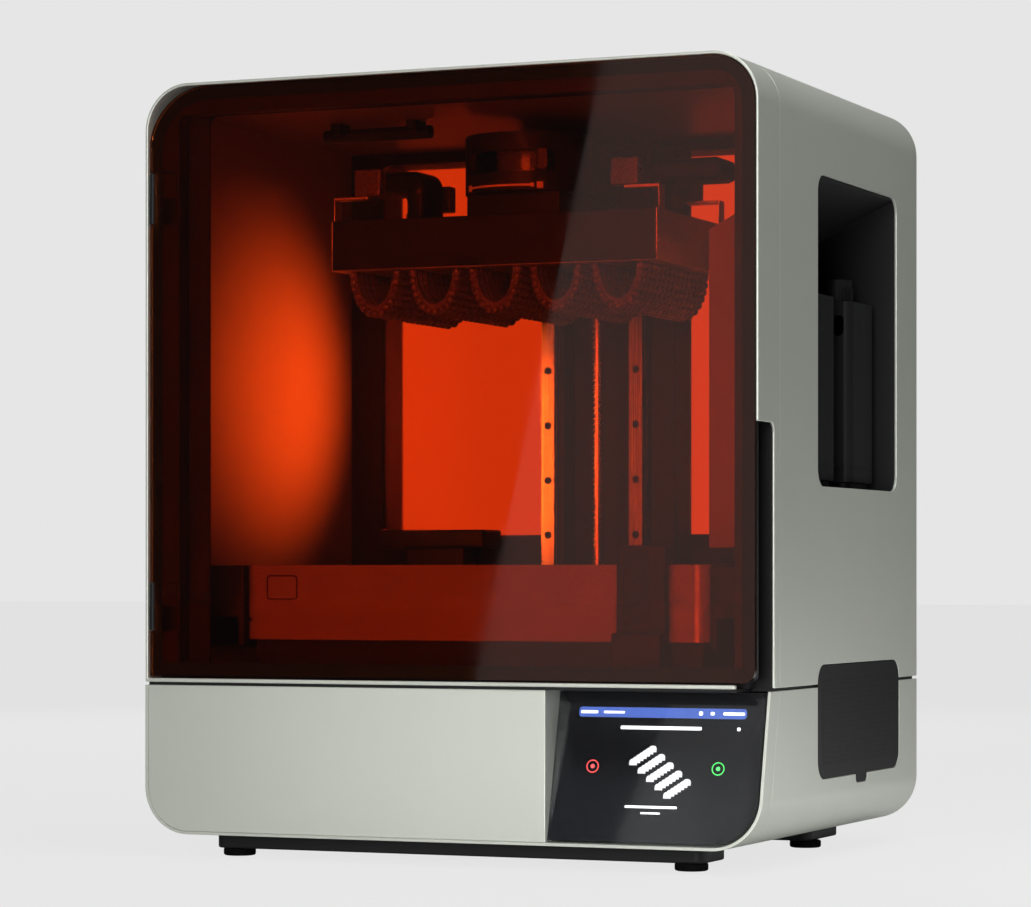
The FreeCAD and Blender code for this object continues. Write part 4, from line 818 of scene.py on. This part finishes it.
class PRINTER_OT_batch(bpy.types.Operator):
    """Model one printed arch of beads and repeat it under the platform"""

    bl_idname = "printer.batch"
    bl_label = "Printed batch"

    def execute(self, context):
        columns, rows, beads = 5, 15, 15
        pitch_x, pitch_y = 67.7 * MM, 13 * MM
        half, bead_radius = 25 * MM, 4.8 * MM
        drop = PLATE_LOW.z - BATCH_LOW.z - 2 * bead_radius
        deselect()
        bpy.ops.mesh.primitive_plane_add(size=1, location=(half - 2 * MM, 0, 0))
        band = bpy.context.object
        band.scale = (5 * MM, 6 * MM, 1)
        settle(band)
        edit(band)
        bpy.ops.mesh.select_all(action="SELECT")
        bpy.ops.mesh.spin(steps=18, angle=-math.pi, center=(0, 0, 0), axis=(0, 1, 0))
        bpy.ops.mesh.select_all(action="SELECT")
        bpy.ops.transform.resize(value=(1, 1, drop / half), center_override=(0, 0, 0))
        bpy.ops.mesh.remove_doubles(threshold=0.01 * MM)
        bpy.ops.mesh.normals_make_consistent(inside=False)
        bpy.ops.object.mode_set(mode="OBJECT")
        soften(band, 0.8 * MM, 1, 40)
        deselect()
        bpy.ops.mesh.primitive_uv_sphere_add(segments=10, ring_count=6, radius=bead_radius)
        bead = bpy.context.object
        bead.scale = (1, 1.2, 1)
        smooth(settle(bead))
        places = bead_places(half, drop, beads)
        chain = [twin(bead, f"bead_{number}", place) for number, place in enumerate(places)]
        bpy.data.objects.remove(bead)
        arch = fused("arch", [band, *chain])
        middle_y = (BATCH_LOW.y + BATCH_HIGH.y) / 2
        copies = []
        for column in range(columns):
            for row in range(rows):
                x = (column - (columns - 1) / 2) * pitch_x
                y = middle_y + (row - (rows - 1) / 2) * pitch_y
                copies.append(twin(arch, f"arch_{column}_{row}", (x, y, PLATE_LOW.z)))
        bpy.data.objects.remove(arch)
        batch = fused("printed_arches", copies)
        dress(batch, cured_resin(), "platform", "cured_resin", "printed_batch")
        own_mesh(batch)
        return {"FINISHED"}


class PRINTER_OT_platform(bpy.types.Operator):
    """Finish the carriage, lock, build platform, flexible sheet, tabs and grips"""

    bl_idname = "printer.platform"
    bl_label = "Platform"

    def execute(self, context):
        refine(alloy(), "platform_body", "carriage_plate", width=1.2 * MM)
        refine(spring_steel(), "flex_sheet", width=0.45 * MM)
        refine(black(), "carriage_arm", width=2.5 * MM)
        refine(tab_plastic(), "lock_lever", width=1.5 * MM)
        refine(rail_steel(), "carriage_bearings", width=0.6 * MM)
        refine(tab_plastic(), "flex_tabs", width=2 * MM)
        refine(black(), "platform_grips", width=8 * MM)
        self.lock_marks()
        return {"FINISHED"}

    def lock_marks(self):
        """A curved bar between square marks on the front of the lock drum."""
        low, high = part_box("carriage_arm")
        radius = (high.x - low.x) / 2
        axis = Vector((0, low.y + radius, 0))
        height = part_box("lock_lever")[0].z - 4.5 * MM
        start, stop = math.radians(-38), math.radians(24)
        face = radius + 0.4 * MM
        deselect()
        first = (face * math.sin(start), axis.y - face * math.cos(start), height)
        bpy.ops.mesh.primitive_cube_add(size=1, location=first)
        bar = bpy.context.object
        bar.scale = (0.8 * MM, 0.8 * MM, 2 * MM)
        settle(bar)
        edit(bar)
        pick(bar, "FACE", lambda f: f.normal.x > 0.9)
        bpy.ops.mesh.spin(steps=20, angle=start - stop, center=(0, axis.y, height), axis=(0, 0, 1))
        bpy.ops.object.mode_set(mode="OBJECT")
        marks = [bar]
        for angle, size in ((start - 0.09, 6.5 * MM), (stop + 0.02, 4 * MM), (stop + 0.14, 6.5 * MM)):
            spot = Vector((face * math.sin(angle), axis.y - face * math.cos(angle), height))
            half = Vector((size / 2, 0.4 * MM, size / 2))
            mark = block("mark", -half, half)
            mark.rotation_euler.z = angle
            mark.location = spot
            marks.append(settle(mark))
        dress(fused("lock_marks", marks), white_plastic(), "carriage", "black_plastic")


class PRINTER_OT_tower(bpy.types.Operator):
    """Finish the tower, rails, screws and the threaded lead screw"""

    bl_idname = "printer.tower"
    bl_label = "Z tower"

    def execute(self, context):
        refine(black(), "tower_column", width=1.2 * MM)
        refine(rail_steel(), "linear_rails", width=0.8 * MM)
        refine(black(), "screw_bearings", width=1.0 * MM)
        coat(black(), "screws")
        low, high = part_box("lead_screw")
        radius = (high.x - low.x) / 2
        axis = ((low.x + high.x) / 2, (low.y + high.y) / 2)
        neck = 64 * MM
        pitch, depth = sizes().pitch, sizes().thread
        core = drum("core", (*axis, low.z), "Z", radius - depth, high.z - low.z, 24)
        soften(core, 0.5 * MM)
        deselect()
        start = low.z + neck
        turns = int((high.z - start) / pitch) - 1
        bpy.ops.mesh.primitive_plane_add(size=1, location=(radius - depth / 2, 0, 0),
                                         rotation=(math.pi / 2, 0, 0))
        thread = bpy.context.object
        root_share, crest_share, sunk = 0.7, 0.3, 1.2
        thread.scale = (depth * sunk, pitch * root_share, 1)
        settle(thread)
        edit(thread)
        pick(thread, "VERT", lambda v: v.co.x > radius - depth / 2)
        bpy.ops.transform.resize(value=(1, 1, crest_share))
        bpy.ops.mesh.select_all(action="SELECT")
        bpy.ops.mesh.delete(type="ONLY_FACE")
        bpy.ops.object.mode_set(mode="OBJECT")
        apply_modifier(thread, "SCREW", axis="Z", angle=2 * math.pi, screw_offset=pitch, iterations=turns,
                       steps=18, render_steps=18)
        edit(thread)
        bpy.ops.mesh.select_all(action="SELECT")
        bpy.ops.mesh.normals_make_consistent(inside=False)
        bpy.ops.object.mode_set(mode="OBJECT")
        thread.location = (*axis, start)
        settle(thread)
        dress(fused("threaded_screw", [core, thread]), rail_steel(), "screw", "steel", "lead_screw")
        return {"FINISHED"}


class PRINTER_OT_tank(bpy.types.Operator):
    """Finish the resin tank, its handles, stage and optics, and the mixer"""

    bl_idname = "printer.tank"
    bl_label = "Tank and mixer"

    def execute(self, context):
        coat(tank_plastic(), "tank_body")
        refine(black(), "tank_handles", width=3 * MM)
        coat(black(), "tank_stage")
        coat(clear(), "tank_film", "mask_screen")
        low = Vector((-229 * MM, 0, 262 * MM))
        high = Vector((-194 * MM, 0, 287 * MM))
        corner, line, thick = 4 * MM, 1.2 * MM, 1.0 * MM
        mark = flat_ring("tank_mark", low, high, TANK_LOW.y, (corner,) * 4, line, thick)
        dress(mark, black(), "chassis", "tank_plastic")
        refine(black(), "mixer_bracket", width=2.5 * MM)
        refine(black(), "mixer_blade", "mixer_slide", width=1.2 * MM)
        self.mixer_panel()
        return {"FINISHED"}

    def mixer_panel(self):
        """A rimmed glossy panel on the front of the mixer's upright."""
        low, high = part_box("mixer_bracket")
        front = low.y + 14 * MM
        left, right, top, foot = 7 * MM, 18 * MM, 6 * MM, 78 * MM
        rim, recess = 1.6 * MM, 0.8 * MM
        panel = block("mixer_panel", (low.x + left, front - 1 * MM, high.z - foot),
                      (high.x - right, front + 1 * MM, high.z - top))
        round_edges(panel, lambda e: edge_along(e, 1), 3 * MM, 4)
        edit(panel)
        pick(panel, "FACE", lambda f: f.normal.y < -0.9)
        bpy.ops.mesh.inset(thickness=rim)
        bpy.ops.mesh.extrude_region_move(TRANSFORM_OT_translate={"value": (0, recess, 0)})
        bpy.ops.object.mode_set(mode="OBJECT")
        dress(panel, gloss_black(), "mixer", "black_plastic")


class PRINTER_OT_cartridges(bpy.types.Operator):
    """Finish the side bay and its two resin cartridges"""

    bl_idname = "printer.cartridges"
    bl_label = "Cartridges"

    def execute(self, context):
        refine(black(), "cartridge_bay", "cartridge_seats", width=0.8 * MM)
        self.bay_skin()
        for name, body in (("front_cartridge", "cartridge_front"), ("rear_cartridge", "cartridge_rear")):
            refine(black(), name, width=3 * MM)
            low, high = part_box(name)
            self.bottle_trim(name, body, low, high)
        return {"FINISHED"}

    def bay_skin(self):
        """A thin grey skin on the bay's chamber side and front, under its slanted top."""
        low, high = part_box("cartridge_bay")
        skin, slope, short = 0.6 * MM, 0.49, 14 * MM
        fall = slope * (high.x - low.x)
        side = block("bay_side", (low.x - skin, low.y - skin, low.z), (low.x, high.y, high.z - fall))
        front = block("bay_front", (low.x, low.y - skin, low.z), (high.x - short, low.y, high.z))
        edit(front)
        pick(front, "VERT", lambda v: v.co.z > low.z + skin and v.co.x < low.x + skin)
        bpy.ops.transform.translate(value=(0, 0, -fall))
        bpy.ops.object.mode_set(mode="OBJECT")
        dress(fused("bay_skin", [side, front]), liner(), "chassis", "chamber_liner")

    def bottle_trim(self, name, body, low, high):
        """A ribbed sleeve on the cap, a seam band round the foot and a loop for one cartridge."""
        middle_y = (low.y + high.y) / 2
        sleeve = drum("sleeve", (high.x - 28 * MM, middle_y, high.z - 22 * MM), "Z", 16 * MM, 14 * MM, 48)
        edit(sleeve)
        pick(sleeve, "FACE", lambda f: abs(f.normal.z) < 0.1 and f.index % 2 == 0)
        bpy.ops.mesh.extrude_faces_move(TRANSFORM_OT_shrink_fatten={"value": 0.7 * MM})
        bpy.ops.object.mode_set(mode="OBJECT")
        proud = Vector((0.5 * MM, 0.5 * MM, 0))
        foot = low + Vector((0, 0, 15 * MM))
        head = Vector((high.x, high.y, foot.z + 1.5 * MM))
        band = block("band", foot - proud, head + proud)
        round_edges(band, lambda e: edge_along(e, 2), 9 * MM, 5)
        deselect()
        bpy.ops.mesh.primitive_torus_add(major_radius=10 * MM, minor_radius=2.4 * MM, major_segments=32,
                                         minor_segments=10, rotation=(0, math.pi / 2, 0),
                                         location=(high.x - 2 * MM, middle_y, high.z - 50 * MM))
        loop = settle(bpy.context.object)
        dress(fused(name + "_trim", [sleeve, band, smooth(loop)]), black(), body, "black_plastic")


class PRINTER_OT_filter(bpy.types.Operator):
    """Model the perforated filter cover and finish the fan behind it"""

    bl_idname = "printer.filter"
    bl_label = "Filter"

    def execute(self, context):
        refine(black(), "filter_cover", width=0.8 * MM)
        coat(black(), "fan_frame", "fan_rotor")
        pitch = sizes().mesh_pitch
        margin = 13 * MM
        lip = 9 * MM
        low = COVER_LOW + Vector((0, margin, margin + lip))
        high = COVER_HIGH - Vector((0, margin, margin))
        across = round((high.y - low.y) / pitch)
        up = round((high.z - low.z) / pitch)
        middle = (low + high) / 2
        deselect()
        bpy.ops.mesh.primitive_grid_add(x_subdivisions=up, y_subdivisions=across, size=1,
                                        location=(high.x + 0.1 * MM, middle.y, middle.z),
                                        rotation=(0, math.pi / 2, 0))
        mesh = bpy.context.object
        mesh.name = "filter_mesh"
        mesh.scale = (high.z - low.z, high.y - low.y, 1)
        settle(mesh)
        edit(mesh)
        bpy.ops.mesh.select_all(action="SELECT")
        bpy.ops.mesh.inset(thickness=0.7 * MM, use_individual=True)
        bpy.ops.mesh.extrude_faces_move(TRANSFORM_OT_shrink_fatten={"value": -0.9 * MM})
        bpy.ops.object.mode_set(mode="OBJECT")
        dress(mesh, black(), "cover", "black_plastic")
        return {"FINISHED"}


class PRINTER_OT_rear(bpy.types.Operator):
    """Finish the rear panel and its connectors"""

    bl_idname = "printer.rear"
    bl_label = "Rear panel"

    def execute(self, context):
        refine(paint(), "rear_panel", width=0.6 * MM)
        refine(black(), "power_inlet", "power_rocker", width=0.5 * MM)
        return {"FINISHED"}


def lamp_object(name, data, place, target, power):
    """Put a lamp in the scene, facing a point."""
    data.energy = power
    lamp = bpy.data.objects.new(name, data)
    bpy.context.scene.collection.objects.link(lamp)
    lamp.location = place
    lamp.rotation_euler = (Vector(target) - Vector(place)).to_track_quat("-Z", "Y").to_euler()
    return lamp


def area_lamp(name, place, target, size, power, roll=0.0):
    """A soft rectangular lamp."""
    data = bpy.data.lights.new(name, "AREA")
    data.shape = "RECTANGLE"
    data.size, data.size_y = size
    lamp = lamp_object(name, data, place, target, power)
    lamp.rotation_euler.rotate_axis("Z", roll)
    return lamp


def spot_lamp(name, place, target, cone, power):
    """A lamp whose light fades to nothing at the edge of a cone in degrees."""
    data = bpy.data.lights.new(name, "SPOT")
    data.spot_size = math.radians(cone)
    data.spot_blend = 1.0
    data.shadow_soft_size = 0.01
    return lamp_object(name, data, place, target, power)


def backdrop_world(level, ambient):
    """Pale background for the camera, also through panes, and softer light for everything else."""
    world = bpy.data.worlds.new("studio")
    bpy.context.scene.world = world
    world.use_nodes = True
    tree = world.node_tree
    tree.nodes.clear()
    seen = tree.nodes.new("ShaderNodeBackground")
    seen.inputs["Color"].default_value = (level, level, level, 1)
    soft = tree.nodes.new("ShaderNodeBackground")
    soft.inputs["Color"].default_value = (ambient, ambient, ambient, 1)
    path = tree.nodes.new("ShaderNodeLightPath")
    bounced = tree.nodes.new("ShaderNodeMath")
    bounced.operation = "ADD"
    bounced.use_clamp = True
    mix = tree.nodes.new("ShaderNodeMixShader")
    out = tree.nodes.new("ShaderNodeOutputWorld")
    tree.links.new(path.outputs["Diffuse Depth"], bounced.inputs[0])
    tree.links.new(path.outputs["Glossy Depth"], bounced.inputs[1])
    tree.links.new(bounced.outputs["Value"], mix.inputs["Fac"])
    tree.links.new(seen.outputs["Background"], mix.inputs[1])
    tree.links.new(soft.outputs["Background"], mix.inputs[2])
    tree.links.new(mix.outputs["Shader"], out.inputs["Surface"])


def floor_material(level):
    """Pale floor that keeps a faint shadow and meets the background evenly."""
    material, tree, main = shader("pale_floor")
    use_shade(tree, main.inputs["Base Color"], (0.7, 0.7, 0.7), 0.01, 2.0)
    main.inputs["Roughness"].default_value = 0.9
    glow = tree.nodes.new("ShaderNodeEmission")
    glow.inputs["Color"].default_value = (level * 1.04, level * 1.04, level * 1.04, 1)
    path = tree.nodes.new("ShaderNodeLightPath")
    share = tree.nodes.new("ShaderNodeMath")
    share.operation = "MULTIPLY"
    share.inputs[1].default_value = 0.92
    mix = tree.nodes.new("ShaderNodeMixShader")
    tree.links.new(path.outputs["Is Camera Ray"], share.inputs[0])
    tree.links.new(share.outputs["Value"], mix.inputs["Fac"])
    tree.links.new(main.outputs["BSDF"], mix.inputs[1])
    tree.links.new(glow.outputs["Emission"], mix.inputs[2])
    tree.links.new(mix.outputs["Shader"], tree.nodes["Material Output"].inputs["Surface"])
    return material


class PRINTER_OT_stage(bpy.types.Operator):
    """Set up the floor, the background, the soft lamps and the camera"""

    bl_idname = "printer.stage"
    bl_label = "Stage"

    def execute(self, context):
        level = 0.79
        scene = context.scene
        scene.view_settings.view_transform = "Standard"
        backdrop_world(level, 0.04)
        deselect()
        bpy.ops.mesh.primitive_plane_add(size=60, location=(0, 0, 0))
        floor = bpy.context.object
        floor.name = "studio_floor"
        floor.data.materials.append(floor_material(level))
        area_lamp("key", (0.6, -3.9, 0.8), (0, 0, 0.3), (1.6, 1.6), 96)
        area_lamp("overhead", (0.8, -0.3, 2.1), (0.2, 0, 0.4), (1.4, 1.6), 34)
        rear_fill = area_lamp("rear_fill", (-1.6, 3.2, 1.6), (0, 0, 0.4), (1.6, 1.6), 40)
        area_lamp("low_right", (0.75, 0, 0.03), (0.33, 0, 0.05), (0.9, 0.3), 1.8)
        low_front = area_lamp("low_front", (0.2, -1.0, 0.03), (0.15, -0.26, 0.06), (0.7, 0.3), 0.4)
        low_front.data.spread = math.radians(36)
        low_front.visible_glossy = False
        area_lamp("door_card", (-0.10, -2.5, 0.6), (-0.10, 0, 0.6), (1.45, 2.6), 5, math.radians(-12.6))
        strip = area_lamp("chamber_strip", (-0.24, -0.2, 0.43), (-0.05, 0.14, 0.43), (0.02, 0.22), 0.065)
        strip.data.color = (1, 0.45, 0.08)
        strip.data.spread = math.radians(60)
        left_glow = spot_lamp("left_glow", (-0.07, 0.09, 0.48), (-0.316, 0.02, 0.49), 86, 19)
        left_glow.data.color = (1, 0.3, 0.08)
        right_glow = spot_lamp("right_glow", (0.07, 0.09, 0.46), (0.219, -0.02, 0.48), 90, 8)
        right_glow.data.color = (1, 0.4, 0.12)
        for lamp in (rear_fill, strip, left_glow, right_glow):
            lamp.visible_camera = False
            lamp.visible_transmission = False
        left_glow.visible_glossy = False
        right_glow.visible_glossy = False
        data = bpy.data.cameras.new("photo_view")
        data.sensor_width = SENSOR
        data.lens = PHOTO_FOCUS / PHOTO_WIDTH * SENSOR
        data.shift_y = PHOTO_HORIZON / PHOTO_WIDTH
        camera = bpy.data.objects.new("photo_view", data)
        scene.collection.objects.link(camera)
        camera.location = CAMERA_PLACE
        camera.rotation_euler = (math.pi / 2, 0, CAMERA_YAW)
        scene.camera = camera
        return {"FINISHED"}


OPERATORS = (
    PRINTER_OT_shells, PRINTER_OT_door, PRINTER_OT_chamber, PRINTER_OT_screen, PRINTER_OT_batch,
    PRINTER_OT_platform, PRINTER_OT_tower, PRINTER_OT_tank, PRINTER_OT_cartridges, PRINTER_OT_filter,
    PRINTER_OT_rear, PRINTER_OT_stage)


class PRINTER_PT_tools(bpy.types.Panel):
    """Lists the printer's pieces in the sidebar"""

    bl_idname = "PRINTER_PT_tools"
    bl_label = "Resin printer"
    bl_space_type = "VIEW_3D"
    bl_region_type = "UI"
    bl_category = "Printer"

    def draw(self, context):
        for operator in OPERATORS:
            self.layout.operator(operator.bl_idname)
        for group in (context.scene.printer_finish, context.scene.printer_sizes):
            for key in group.__annotations__:
                self.layout.prop(group, key)


CLASSES = (PrinterFinish, PrinterSizes, *OPERATORS, PRINTER_PT_tools)


def register():
    """Add the classes and settings."""
    for item in CLASSES:
        bpy.utils.register_class(item)
    bpy.types.Scene.printer_finish = PointerProperty(type=PrinterFinish)
    bpy.types.Scene.printer_sizes = PointerProperty(type=PrinterSizes)


def unregister():
    """Take the classes and settings away."""
    del bpy.types.Scene.printer_sizes
    del bpy.types.Scene.printer_finish
    for item in reversed(CLASSES):
        bpy.utils.unregister_class(item)


def main():
    """Build every piece and the stage."""
    register()
    for operator in OPERATORS:
        family, name = operator.bl_idname.split(".")
        getattr(getattr(bpy.ops, family), name)()
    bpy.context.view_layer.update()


if __name__ == "__main__":
    main()
